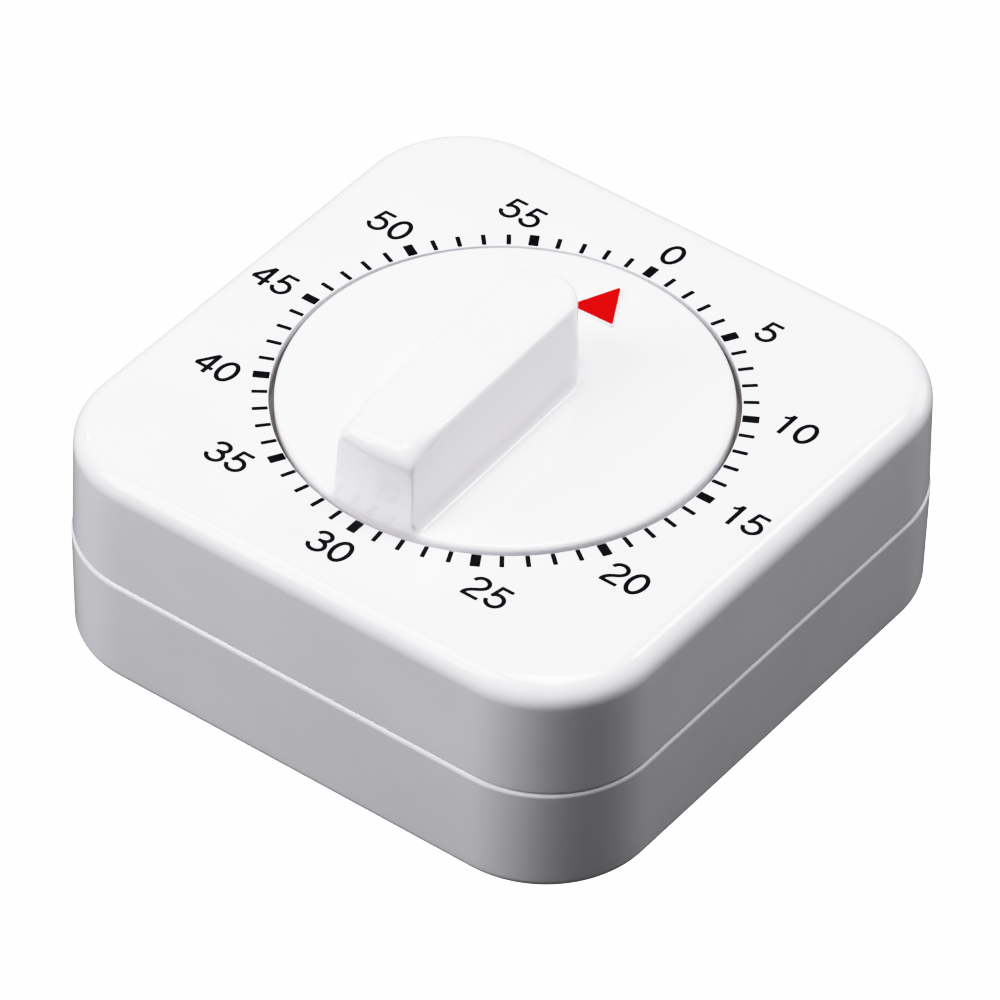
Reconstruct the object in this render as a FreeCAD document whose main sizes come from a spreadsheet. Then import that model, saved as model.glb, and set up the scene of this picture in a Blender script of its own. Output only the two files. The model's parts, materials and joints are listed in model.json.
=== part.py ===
"""Square wind-up lab timer: two-part case, dial with a grip bar, and a spring-driven movement with a bell.

Millimetres. The origin is the centre of the flat base, +Z is up and +Y points to the 0 mark of the scale.
"""
import FreeCAD, Part
import math
import os

import Sketcher
from FreeCAD import Rotation, Vector

UP = Vector(0, 0, 1)

# Driving dimensions: alias, value, meaning. Angles are in degrees, from +X towards +Y.
SIZES = [
    ("case_side", 70.0, "side of the square case at the parting line"),
    ("case_corner", 12.4, "plan radius of the case corners"),
    ("face_height", 26.8, "height of the printed face above the base"),
    ("parting_height", 13.2, "height of the line between the case halves"),
    ("upper_draft", 1.2, "draft of the upper side walls"),
    ("lower_draft", 0.7, "draft of the lower side walls"),
    ("lower_proud", 0.15, "how far the lower half stands out at the parting line"),
    ("wall", 2.0, "thickness of walls, face and floor"),
    ("top_edge_round", 2.8, "radius along the top edge"),
    ("base_edge_round", 1.2, "radius along the base edge"),
    ("parting_edge_round", 0.35, "radius on the lower half's rim"),
    ("tongue_height", 1.0, "tongue that centres the case halves"),
    ("tongue_thickness", 0.9, "radial thickness of the tongue"),
    ("tongue_gap", 0.1, "clearance around the tongue"),
    ("recess_radius", 24.1, "hole that the dial sits in"),
    ("recess_floor_height", 24.0, "upper surface of the recess floor"),
    ("recess_floor_thickness", 1.5, "thickness of the recess floor"),
    ("cup_wall", 1.5, "wall of the cup around the recess"),
    ("hub_bore_radius", 3.7, "opening for the dial hub"),
    ("boss_spot", 24.5, "case screw distance from both centre lines"),
    ("boss_radius", 3.2, "case screw boss"),
    ("case_screw_radius", 1.1, "case screw shank"),
    ("case_screw_head_radius", 2.2, "case screw head"),
    ("case_screw_head_top", 6.0, "seat of the case screw head"),
    ("case_screw_head_height", 1.6, "height of the case screw head"),
    ("case_screw_tip", 22.0, "height of the case screw tip"),
    ("case_screw_clearance", 0.2, "radial gap of the case screws in the lower half"),
    ("case_slot_width", 0.6, "driver slot of the case screws and the bell screw"),
    ("case_slot_depth", 0.8, "driver slot of the case screws"),
    ("bore_spare", 0.4, "depth of blind bores beyond the screw or arbor in them"),
    ("hole_clearance", 0.1, "radial gap of screws in through holes"),
    ("cut_margin", 2.0, "how far cutting outlines reach past the solid"),
    ("fit_gap", 0.02, "radial gap of parts that are fixed together"),
    ("running_gap", 0.04, "radial gap of parts that turn in each other"),
    ("dial_radius", 23.5, "dial disc"),
    ("dial_bottom", 24.6, "underside of the dial disc"),
    ("dial_top", 27.25, "top of the dial disc"),
    ("dial_rim_round", 0.6, "radius on the dial rim and on the bar's near corners"),
    ("dial_blank_radius", 30.0, "dial disc before its edge is turned"),
    ("dial_draft", 2.0, "draft of the dial's edge and the bar's near end"),
    ("dial_rest_angle", 2.0, "how far the pointer rests past the 0 mark"),
    ("dial_lip", 1.5, "thickness of the dial's edge and top around its hollow"),
    ("bar_top", 37.2, "top of the grip bar"),
    ("bar_half_width", 4.45, "half width of the bar at its top"),
    ("bar_foot_half_width", 5.05, "half width of the bar at the disc"),
    ("bar_foot_height", 25.0, "height at which the bar has its foot width, inside the disc"),
    ("bar_far_centre", 4.65, "centre of the bar's round far end"),
    ("bar_overrun", 40.0, "near end of the bar before the dial's edge is turned"),
    ("bar_edge_round", 0.9, "radius along the bar's top edge"),
    ("bar_foot_round", 1.0, "fillet between bar and disc"),
    ("bar_wall", 1.8, "wall of the hollow bar"),
    ("pointer_tip", 20.6, "distance of the pointer's tip from the centre"),
    ("pointer_base", 14.8, "distance of the pointer's base from the centre"),
    ("pointer_half_width", 3.0, "half width of the pointer's base"),
    ("pointer_height", 0.45, "height of the raised pointer"),
    ("pointer_round", 0.18, "radius of the pointer's upright corners"),
    ("hub_radius", 3.2, "dial hub"),
    ("hub_bottom", 22.8, "lower end of the dial hub"),
    ("socket_flat_half_width", 1.5, "half width of the flat inside the hub"),
    ("socket_flat_reach", 2.4, "outer face of the flat, sunk into the hub"),
    ("stop_ring_radius", 20.0, "radius on which the dial stops stand"),
    ("stop_half_width", 0.65, "half width of the stops"),
    ("stop_hollow_top", 25.6, "top of the hollow that the stops run in"),
    ("stop_post_top", 25.4, "top of the stop post in the recess"),
    ("stop_post_angle", 185.9, "place of the stop post"),
    ("plate_radius", 25.0, "movement plates"),
    ("plate_thickness", 0.8, "movement plates"),
    ("bottom_plate_height", 8.6, "underside of the bottom plate"),
    ("top_plate_height", 19.2, "underside of the top plate"),
    ("pillar_radius", 1.7, "plate pillars"),
    ("pillar_tenon_radius", 1.0, "riveted end of a pillar"),
    ("pillar_ring_radius", 22.8, "radius on which the pillars stand"),
    ("pillar_screw_radius", 0.8, "pillar screw shank"),
    ("pillar_screw_depth", 2.6, "length of the pillar screw in the pillar"),
    ("small_head_radius", 1.5, "head of the movement's screws"),
    ("small_head_height", 0.7, "head of the movement's screws"),
    ("small_slot_width", 0.4, "driver slot of the movement's screws"),
    ("small_slot_depth", 0.35, "driver slot of the movement's screws"),
    ("mount_ring_radius", 21.6, "radius on which the movement posts of the case stand"),
    ("mount_post_radius", 2.2, "movement post of the case"),
    ("mount_screw_radius", 0.9, "movement screw shank"),
    ("mount_screw_length", 2.4, "length of the movement screw in its post"),
    ("arbor_radius", 2.0, "main arbor"),
    ("arbor_flat", 1.4, "distance from the axis to the flat on the main arbor"),
    ("arbor_flat_bottom", 22.0, "lower end of the flat"),
    ("arbor_top", 31.6, "upper end of the main arbor"),
    ("arbor_pivot_radius", 1.0, "lower pivot of the main arbor"),
    ("bush_radius", 3.2, "flange of the main bush"),
    ("bush_barrel_radius", 2.8, "barrel of the main bush in the plate"),
    ("bush_flange_height", 0.6, "height of the flange above the plate"),
    ("pivot_radius", 0.4, "pivots of the train arbors"),
    ("shaft_radius", 0.75, "train arbors between their pivots"),
    ("end_shake", 0.06, "play of an arbor along its axis"),
    ("main_module", 0.5, "module of the main wheel"),
    ("fine_module", 0.4, "module of the train wheels"),
    ("main_teeth", 60, "main wheel"),
    ("coarse_leaves", 10, "second and alarm pinions"),
    ("fine_leaves", 8, "third and escape pinions"),
    ("wheel_addendum", 0.5, "wheel teeth outside the pitch circle, in modules"),
    ("wheel_dedendum", 1.3, "wheel teeth inside the pitch circle, in modules"),
    ("pinion_addendum", 1.0, "pinion leaves outside the pitch circle, in modules"),
    ("pinion_dedendum", 0.9, "pinion leaves inside the pitch circle, in modules"),
    ("leaf_margin", 0.3, "pinion leaves beyond each side of the wheel they mesh with"),
    ("second_teeth", 48, "second wheel"),
    ("third_teeth", 45, "third wheel"),
    ("escape_teeth", 15, "escape wheel"),
    ("alarm_teeth", 9, "alarm wheel"),
    ("ratchet_teeth", 8, "ratchet wheel"),
    ("second_angle", 160.0, "direction of the second arbor from the main arbor"),
    ("third_angle", 60.0, "direction of the third arbor from the second"),
    ("escape_angle", 18.0, "direction of the escape arbor from the third"),
    ("pallet_angle", -7.0, "direction of the pallet arbor from the escape arbor"),
    ("pallet_distance", 6.6, "pallet arbor to escape arbor"),
    ("alarm_angle", 235.0, "direction of the alarm arbor from the main arbor"),
    ("main_wheel_height", 15.0, "underside of the main wheel"),
    ("main_wheel_thickness", 0.8, "main wheel"),
    ("main_window_distance", 10.4, "lightening holes of the main wheel from its axis"),
    ("main_window_radius", 2.4, "lightening holes of the main wheel"),
    ("wheel_thickness", 0.6, "train wheels"),
    ("second_wheel_height", 16.6, "underside of the second wheel"),
    ("third_wheel_height", 17.8, "underside of the third wheel"),
    ("escape_wheel_height", 11.6, "underside of the escape wheel"),
    ("alarm_wheel_height", 11.0, "underside of the alarm wheel and the hammer tail"),
    ("escape_radius", 5.0, "tips of the escape wheel"),
    ("escape_root_radius", 3.7, "roots of the escape wheel"),
    ("escape_lean", 0.7, "share of the pitch over which an escape tooth rises"),
    ("alarm_radius", 5.4, "tips of the alarm wheel"),
    ("alarm_root_radius", 3.6, "roots of the alarm wheel"),
    ("alarm_lean", 0.5, "share of the pitch over which an alarm tooth rises"),
    ("ratchet_radius", 5.0, "tips of the ratchet wheel"),
    ("ratchet_root_radius", 4.2, "roots of the ratchet wheel"),
    ("ratchet_height", 14.0, "underside of the ratchet wheel and the click"),
    ("ratchet_thickness", 0.75, "ratchet wheel and click"),
    ("click_pivot_distance", 9.5, "click pivot from the main axis"),
    ("click_nose_distance", 4.78, "click nose from the main axis"),
    ("click_nose_radius", 0.3, "click nose"),
    ("click_tooth_angle", 66.0, "direction of the ratchet tooth that the click holds"),
    ("click_tooth_gap", 0.06, "gap between the click nose and its tooth"),
    ("click_tail_length", 2.6, "click pivot to the end of its tail"),
    ("click_tail_radius", 0.5, "end of the click tail"),
    ("click_spring_distance", 3.2, "click spring from the click pivot"),
    ("click_spring_strip", 0.2, "thickness of the click spring"),
    ("click_spring_length", 6.0, "length of the click spring"),
    ("click_spring_lift", 0.1, "click spring above the underside of the ratchet wheel"),
    ("click_spring_foot_radius", 0.7, "foot of the click spring"),
    ("click_spring_foot_distance", 2.9, "foot of the click spring from the click pivot"),
    ("click_hub_radius", 1.3, "click around its stud"),
    ("stud_radius", 0.7, "click stud and lever pivots"),
    ("stud_collar_radius", 1.1, "collars of the click stud and the lever arbors"),
    ("click_stud_bottom", 13.75, "underside of the click stud's collar"),
    ("clip_radius", 3.2, "clip above the main wheel"),
    ("clip_thickness", 0.4, "clip above the main wheel"),
    ("cam_radius", 6.0, "release cam"),
    ("cam_height", 17.5, "underside of the release cam"),
    ("cam_thickness", 0.8, "release cam"),
    ("cam_notch_angle", 290.0, "direction of the cam notch at rest"),
    ("cam_notch_width", 1.9, "cam notch"),
    ("cam_notch_depth", 1.5, "cam notch"),
    ("spring_strip", 0.22, "thickness of the mainspring strip"),
    ("spring_height", 3.4, "height of the mainspring strip"),
    ("spring_bottom", 10.0, "lower edge of the mainspring"),
    ("spring_inner_radius", 2.6, "innermost coil"),
    ("spring_outer_radius", 11.3, "outermost coil"),
    ("spring_turns", 9, "coils of the mainspring"),
    ("spring_hook_half_width", 0.1, "half width of the mainspring's inner end"),
    ("anchor_radius", 0.9, "mainspring post"),
    ("anchor_top", 13.7, "upper end of the mainspring post"),
    ("anchor_distance", 12.35, "mainspring post from the main axis"),
    ("anchor_angle", 0.0, "direction of the mainspring post"),
    ("bell_radius", 20.0, "outside of the bell"),
    ("bell_bottom", 3.4, "underside of the bell"),
    ("bell_rim", 8.0, "rim of the bell"),
    ("bell_wall", 0.8, "bell sheet"),
    ("bell_round", 2.4, "outside radius between the bell's floor and wall"),
    ("bell_boss_radius", 4.0, "boss under the bell"),
    ("bell_screw_radius", 1.2, "bell screw shank"),
    ("bell_screw_head_radius", 2.6, "bell screw head"),
    ("bell_screw_head_height", 1.2, "bell screw head"),
    ("bell_screw_bottom", 1.6, "lower end of the bell screw"),
    ("bell_slot_depth", 0.5, "driver slot of the bell screw"),
    ("hammer_distance", 17.3, "hammer arbor from the main axis"),
    ("hammer_angle", 300.0, "direction of the hammer arbor"),
    ("hammer_arm_length", 7.0, "hammer arbor to hammer head"),
    ("hammer_arm_angle", 47.5, "direction of the hammer arm at rest"),
    ("hammer_arm_height", 6.9, "underside of the hammer arm"),
    ("hammer_head_radius", 1.6, "hammer head"),
    ("hammer_head_bottom", 5.9, "underside of the hammer head"),
    ("hammer_stem_radius", 0.6, "stem of the hammer head in its arm"),
    ("hammer_tail_length", 12.6, "length of the hammer tail"),
    ("hammer_tail_angle", 178.0, "direction of the hammer tail at rest"),
    ("lever_thickness", 0.6, "stamped levers"),
    ("lever_hub_radius", 1.6, "stamped levers around their arbor"),
    ("lever_end_radius", 0.8, "free end of the stamped levers"),
    ("hammer_spring_strip", 0.3, "thickness of the hammer spring"),
    ("hammer_spring_height", 2.0, "height of the hammer spring"),
    ("hammer_blade_half_width", 0.12, "half thickness of the hammer spring's blade"),
    ("hammer_pillar_angle", 270.0, "direction of the pillar that holds the hammer spring"),
    ("hammer_touch_distance", 7.0, "place where the spring touches the hammer tail, from the hammer arbor"),
    ("hammer_touch_offset", 1.3, "tip of the hammer spring from the tail's centre line"),
    ("pallet_pin_circle", 5.6, "pallet pins from the escape arbor"),
    ("pallet_pin_spread", 45.0, "pallet pins to each side of the line of centres"),
    ("pallet_pin_radius", 0.3, "pallet pins"),
    ("pallet_pin_overhang", 0.3, "pallet pins below the escape wheel"),
    ("pallet_end_radius", 0.7, "ends of the pallet lever around the pins"),
    ("pallet_lever_height", 12.6, "underside of the pallet lever"),
    ("balance_arm_length", 5.2, "length of the pallet lever's balance arms"),
    ("balance_arm_spread", 70.0, "balance arms to each side of the line of centres"),
    ("balance_root_radius", 1.44, "balance arms where they leave the arbor"),
    ("release_distance", 14.0, "release arbor from the main axis"),
    ("release_height", 17.6, "underside of the release lever"),
    ("release_collar_height", 0.4, "collar under the release lever"),
    ("release_angle", 340.0, "direction of the release arbor"),
    ("release_nose_distance", 6.6, "release nose from the main axis"),
    ("release_nose_radius", 0.5, "release nose"),
    ("release_knee_distance", 8.6, "bend between the release arm and its nose, from the main axis"),
    ("release_knee_radius", 0.7, "release lever at its bend"),
    ("release_tail_length", 6.0, "release lever beyond its arbor"),
    ("release_tail_angle", 285.0, "direction of the release tail"),
    ("pressure_angle", 20.0, "of the involute teeth"),
    ("tooth_thinning", 0.04, "taken off each tooth at the pitch circle"),
]
PILLAR_ANGLES = [45, 205, "Sizes.hammer_pillar_angle", 345]
MOUNT_ANGLES = [20, 225, 310]
MAIN_WINDOW_ANGLES = [90, 150, 210, 270]
# Lightening holes of the train wheels: count, distance from the axis, radius.
WINDOWS = {
    "second_wheel": (5, 5.6, 1.9),
    "third_wheel": (5, 5.2, 1.7),
    "escape_wheel": (4, 2.2, 0.6),
    "alarm_wheel": (4, 2.2, 0.6),
}
# Edges closer than this to a surface count as lying on it.
TOUCHING = 0.01

doc = FreeCAD.newDocument("LabTimer")
sheet = doc.addObject("Spreadsheet::Sheet", "Sizes")
for row, (alias, amount, meaning) in enumerate(SIZES, start=1):
    sheet.set(f"A{row}", meaning)
    sheet.set(f"B{row}", str(amount))
    sheet.setAlias(f"B{row}", alias)
doc.recompute()

nodes = []


# ---------------------------------------------------------------- helpers

def number(expression):
    """The value of an expression over the sheet."""
    result = sheet.evalExpression(str(expression))
    return float(getattr(result, "Value", result))


def size(alias):
    return number(f"Sizes.{alias}")


def count(alias):
    return int(size(alias))


def bind(item, **expressions):
    """Tie properties to expressions. Two underscores stand for a dot in the property's path."""
    for path, expression in expressions.items():
        item.setExpression(path.replace("__", "."), str(expression))


def node(item, label):
    """Name a finished sub-part and list it for export."""
    item.Label = label
    nodes.append(item)
    return item


def new_body(name):
    return doc.addObject("PartDesign::Body", name)


def sketch_on(body, height="0", role="XY_Plane"):
    """A sketch on one of the body's own origin planes, lifted by an expression."""
    plane = next(f for f in body.Origin.OriginFeatures if f.Role == role)
    sketch = body.newObject("Sketcher::SketchObject", "Sketch")
    sketch.AttachmentSupport = (plane, [""])
    sketch.MapMode = "FlatFace"
    bind(sketch, AttachmentOffset__Base__z=height)
    return sketch


def constrain(sketch, kind, *items, value):
    """Add a dimension whose value is an expression."""
    index = sketch.addConstraint(Sketcher.Constraint(kind, *items, number(value)))
    sketch.setExpression(f"Constraints[{index}]", str(value))


def add_circle(sketch, radius, x="0", y="0"):
    centre = Vector(number(x), number(y), 0)
    circle = sketch.addGeometry(Part.Circle(centre, UP, number(radius)))
    constrain(sketch, "Radius", circle, value=radius)
    constrain(sketch, "DistanceX", -1, 1, circle, 3, value=x)
    constrain(sketch, "DistanceY", -1, 1, circle, 3, value=y)


def add_polygon(sketch, points):
    """A closed outline whose corners are (x, y) expressions."""
    corners = [Vector(number(x), number(y), 0) for x, y in points]
    lines = [
        sketch.addGeometry(Part.LineSegment(corner, corners[(i + 1) % len(corners)]))
        for i, corner in enumerate(corners)
    ]
    for i, line in enumerate(lines):
        sketch.addConstraint(Sketcher.Constraint("Coincident", line, 2, lines[(i + 1) % len(lines)], 1))
        constrain(sketch, "DistanceX", -1, 1, line, 1, value=points[i][0])
        constrain(sketch, "DistanceY", -1, 1, line, 1, value=points[i][1])


def add_rounded_square(sketch, side, corner):
    """A centred square with round corners: four sides and four quarter arcs."""
    half, radius = number(side) / 2, number(corner)
    inner = half - radius
    sides, arcs = [], []
    for quarter in range(4):
        turn = Rotation(UP, 90 * quarter)
        start = turn.multVec(Vector(half, -inner, 0))
        end = turn.multVec(Vector(half, inner, 0))
        sides.append(sketch.addGeometry(Part.LineSegment(start, end)))
        circle = Part.Circle(turn.multVec(Vector(inner, inner, 0)), UP, radius)
        first = math.radians(90 * quarter)
        arcs.append(sketch.addGeometry(Part.ArcOfCircle(circle, first, first + math.pi / 2)))
    for quarter in range(4):
        following = (quarter + 1) % 4
        sketch.addConstraint(Sketcher.Constraint("Tangent", sides[quarter], 2, arcs[quarter], 1))
        sketch.addConstraint(Sketcher.Constraint("Tangent", arcs[quarter], 2, sides[following], 1))
        kind = "Horizontal" if quarter % 2 else "Vertical"
        sketch.addConstraint(Sketcher.Constraint(kind, sides[quarter]))
    for arc in arcs[1:]:
        sketch.addConstraint(Sketcher.Constraint("Equal", arcs[0], arc))
    constrain(sketch, "Radius", arcs[0], value=corner)
    constrain(sketch, "DistanceX", -1, 1, sides[0], 1, value=f"({side}) / 2")
    constrain(sketch, "DistanceX", -1, 1, sides[2], 1, value=f"-({side}) / 2")
    constrain(sketch, "DistanceY", -1, 1, sides[1], 1, value=f"({side}) / 2")
    constrain(sketch, "DistanceY", -1, 1, sides[3], 1, value=f"-({side}) / 2")


def feature(body, kind, sketch, length, downward=False, taper="0"):
    """Pad or Pocket a sketch. A pad goes up and a pocket cuts down, unless downward is the other way."""
    before = body.Shape.Volume if body.Shape and not body.Shape.isNull() else 0.0
    item = body.newObject(f"PartDesign::{kind}", kind)
    item.Profile = sketch
    item.Reversed = downward
    bind(item, Length=length, TaperAngle=taper)
    doc.recompute()
    grown = body.Shape.Volume - before
    if (kind == "Pad") != (grown > 0):
        raise RuntimeError(f"{body.Name} {item.Name} did not change its solid as meant: {grown}")
    return item


def pad(body, sketch, length, downward=False, taper="0"):
    return feature(body, "Pad", sketch, length, downward, taper)


def pocket(body, sketch, length, upward=False):
    return feature(body, "Pocket", sketch, length, upward)


def fillet(body, radius, choose):
    """Round the edges of the body's tip that the test picks."""
    tip = body.Tip
    names = [f"Edge{i}" for i, edge in enumerate(tip.Shape.Edges, start=1) if choose(edge)]
    if not names:
        raise RuntimeError(f"{body.Name} has no edge to round")
    item = body.newObject("PartDesign::Fillet", "Fillet")
    item.Base = (tip, names)
    bind(item, Radius=radius)
    doc.recompute()
    return item


def flat_at(edge, height):
    box = edge.BoundBox
    return abs(box.ZMin - height) < TOUCHING and abs(box.ZMax - height) < TOUCHING


def turned(name, steps, bore=None, x="0", y="0"):
    """A turned piece: steps of (radius, bottom, top) from the lowest up, around an optional bore."""
    body = new_body(name)
    sketch = sketch_on(body, role="XZ_Plane")
    inside = bore or "0"
    outline = [(inside, steps[0][1])]
    for radius, bottom, top in steps:
        outline += [(radius, bottom), (radius, top)]
    outline.append((inside, steps[-1][2]))
    add_polygon(sketch, outline)
    revolution = body.newObject("PartDesign::Revolution", "Revolution")
    revolution.Profile = sketch
    revolution.ReferenceAxis = (sketch, ["V_Axis"])
    revolution.Angle = 360
    doc.recompute()
    bind(body, Placement__Base__x=x, Placement__Base__y=y)
    return body


def plate(name, face, bottom, thickness, x="0", y="0", turn="0"):
    """A flat piece cut from a face that lies around the origin, then set in its place."""
    item = doc.addObject("Part::Feature", name)
    item.Shape = face.extrude(Vector(0, 0, number(thickness)))
    item.Placement.Base = Vector(number(x), number(y), number(bottom))
    item.Placement.Rotation = Rotation(UP, number(turn))
    return item


def fused(*items):
    whole = doc.addObject("Part::MultiFuse", "Fusion")
    whole.Shapes = list(items)
    return whole


def cut(base, tool):
    item = doc.addObject("Part::Cut", "Cut")
    item.Base = base
    item.Tool = tool
    return item


def gathered(items):
    """Several separate solids that share one sub-part."""
    group = doc.addObject("Part::Compound", "Group")
    group.Links = list(items)
    return group


def polar(distance, angle, x="0", y="0"):
    """A point as expressions: a distance and an angle from a first point."""
    return f"{x} + ({distance}) * cos({angle})", f"{y} + ({distance}) * sin({angle})"


def around(distance, degrees):
    return Vector(distance * math.cos(math.radians(degrees)), distance * math.sin(math.radians(degrees)), 0)


def round_wire(radius, centre=Vector()):
    return Part.Wire(Part.Circle(centre, UP, radius).toShape())


def round_face(radius, centre=Vector()):
    return Part.Face(round_wire(radius, centre))


def ring_face(outer_wire, bore):
    """The face inside a wire, with a round hole at the origin."""
    return Part.makeFace([outer_wire, round_wire(bore)], "Part::FaceMakerBullseye")


# ---------------------------------------------------------------- teeth and levers

def involute(angle):
    return math.tan(angle) - angle


def gear_wire(teeth, module, addendum, dedendum):
    """Outline of an involute gear with a tooth centred on +X. Addendum and dedendum are in modules."""
    pressure = math.radians(size("pressure_angle"))
    pitch = teeth * module / 2
    base = pitch * math.cos(pressure)
    tip = pitch + addendum * module
    root = pitch - dedendum * module
    half_tooth = (math.pi * module / 2 - size("tooth_thinning")) / (2 * pitch)
    start = max(base, root)

    def flank_angle(radius):
        return half_tooth + involute(pressure) - involute(math.acos(min(1.0, base / radius)))

    steps = 5
    radii = [start + (tip - start) * i / (steps - 1) for i in range(steps)]
    edges = []
    for tooth in range(teeth):
        middle = 2 * math.pi * tooth / teeth

        def at(radius, offset):
            return Vector(radius * math.cos(middle + offset), radius * math.sin(middle + offset), 0)

        rising = [at(r, -flank_angle(r)) for r in radii]
        falling = [at(r, flank_angle(r)) for r in reversed(radii)]
        for points in (rising, falling):
            curve = Part.BSplineCurve()
            curve.interpolate(points)
            if points is falling:
                edges.append(Part.Arc(rising[-1], at(tip, 0), falling[0]).toShape())
            edges.append(curve.toShape())
        foot = at(root, flank_angle(start))
        next_foot = at(root, 2 * math.pi / teeth - flank_angle(start))
        next_start = at(start, 2 * math.pi / teeth - flank_angle(start))
        if start > root:
            edges.append(Part.LineSegment(falling[-1], foot).toShape())
        edges.append(Part.Arc(foot, at(root, math.pi / teeth), next_foot).toShape())
        if start > root:
            edges.append(Part.LineSegment(next_foot, next_start).toShape())
    return Part.Wire(Part.__sortEdges__(edges))


def saw_wire(teeth, tip, root, lean):
    """Outline of pointed teeth, each rising over a share of the pitch. The first tip is on +X."""
    pitch = 360 / teeth
    points = []
    for tooth in range(teeth):
        points.append(around(root, pitch * (tooth - lean)))
        points.append(around(tip, pitch * tooth))
    return Part.makePolygon(points + points[:1])


def link_face(start, start_radius, end, end_radius):
    """The flat outline around two circles and their outer tangents."""
    gap = end - start
    heading = math.degrees(math.atan2(gap.y, gap.x))
    spread = math.degrees(math.acos((start_radius - end_radius) / gap.Length))
    left_start = start + around(start_radius, heading + spread)
    right_start = start + around(start_radius, heading - spread)
    left_end = end + around(end_radius, heading + spread)
    right_end = end + around(end_radius, heading - spread)
    return Part.Face(Part.Wire([
        Part.Arc(left_start, start + around(start_radius, heading + 180), right_start).toShape(),
        Part.LineSegment(right_start, right_end).toShape(),
        Part.Arc(right_end, end + around(end_radius, heading), left_end).toShape(),
        Part.LineSegment(left_end, left_start).toShape(),
    ]))


def stamped(name, faces, holes, bottom, thickness, x="0", y="0"):
    """A flat piece joined from several outlines around its pivot, with holes cut out of it."""
    rise = Vector(0, 0, number(thickness))
    solids = [face.extrude(rise) for face in faces]
    shape = solids[0].fuse(solids[1:]) if len(solids) > 1 else solids[0]
    for hole in holes:
        shape = shape.cut(hole.extrude(rise))
    item = doc.addObject("Part::Feature", name)
    item.Shape = shape.removeSplitter()
    item.Placement.Base = Vector(number(x), number(y), number(bottom))
    return item


# ---------------------------------------------------------------- places of the arbors

MAIN_TO_SECOND = "(Sizes.main_teeth + Sizes.coarse_leaves) * Sizes.main_module / 2"
SECOND_TO_THIRD = "(Sizes.second_teeth + Sizes.fine_leaves) * Sizes.fine_module / 2"
THIRD_TO_ESCAPE = "(Sizes.third_teeth + Sizes.fine_leaves) * Sizes.fine_module / 2"
SECOND = polar(MAIN_TO_SECOND, "Sizes.second_angle")
THIRD = polar(SECOND_TO_THIRD, "Sizes.third_angle", *SECOND)
ESCAPE = polar(THIRD_TO_ESCAPE, "Sizes.escape_angle", *THIRD)
PALLET = polar("Sizes.pallet_distance", "Sizes.pallet_angle", *ESCAPE)
ALARM = polar(MAIN_TO_SECOND, "Sizes.alarm_angle")
HAMMER = polar("Sizes.hammer_distance", "Sizes.hammer_angle")
RELEASE = polar("Sizes.release_distance", "Sizes.release_angle")
ANCHOR = polar("Sizes.anchor_distance", "Sizes.anchor_angle")
PILLARS = [polar("Sizes.pillar_ring_radius", angle) for angle in PILLAR_ANGLES]
MOUNTS = [polar("Sizes.mount_ring_radius", angle) for angle in MOUNT_ANGLES]
CORNERS = [(f"{i} * Sizes.boss_spot", f"{j} * Sizes.boss_spot") for i in (-1, 1) for j in (-1, 1)]
BOTTOM_PLATE_TOP = "Sizes.bottom_plate_height + Sizes.plate_thickness"
TOP_PLATE_TOP = "Sizes.top_plate_height + Sizes.plate_thickness"
CEILING = "Sizes.face_height - Sizes.wall"
RECESS_UNDERSIDE = "Sizes.recess_floor_height - Sizes.recess_floor_thickness"


# ---------------------------------------------------------------- case

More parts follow.
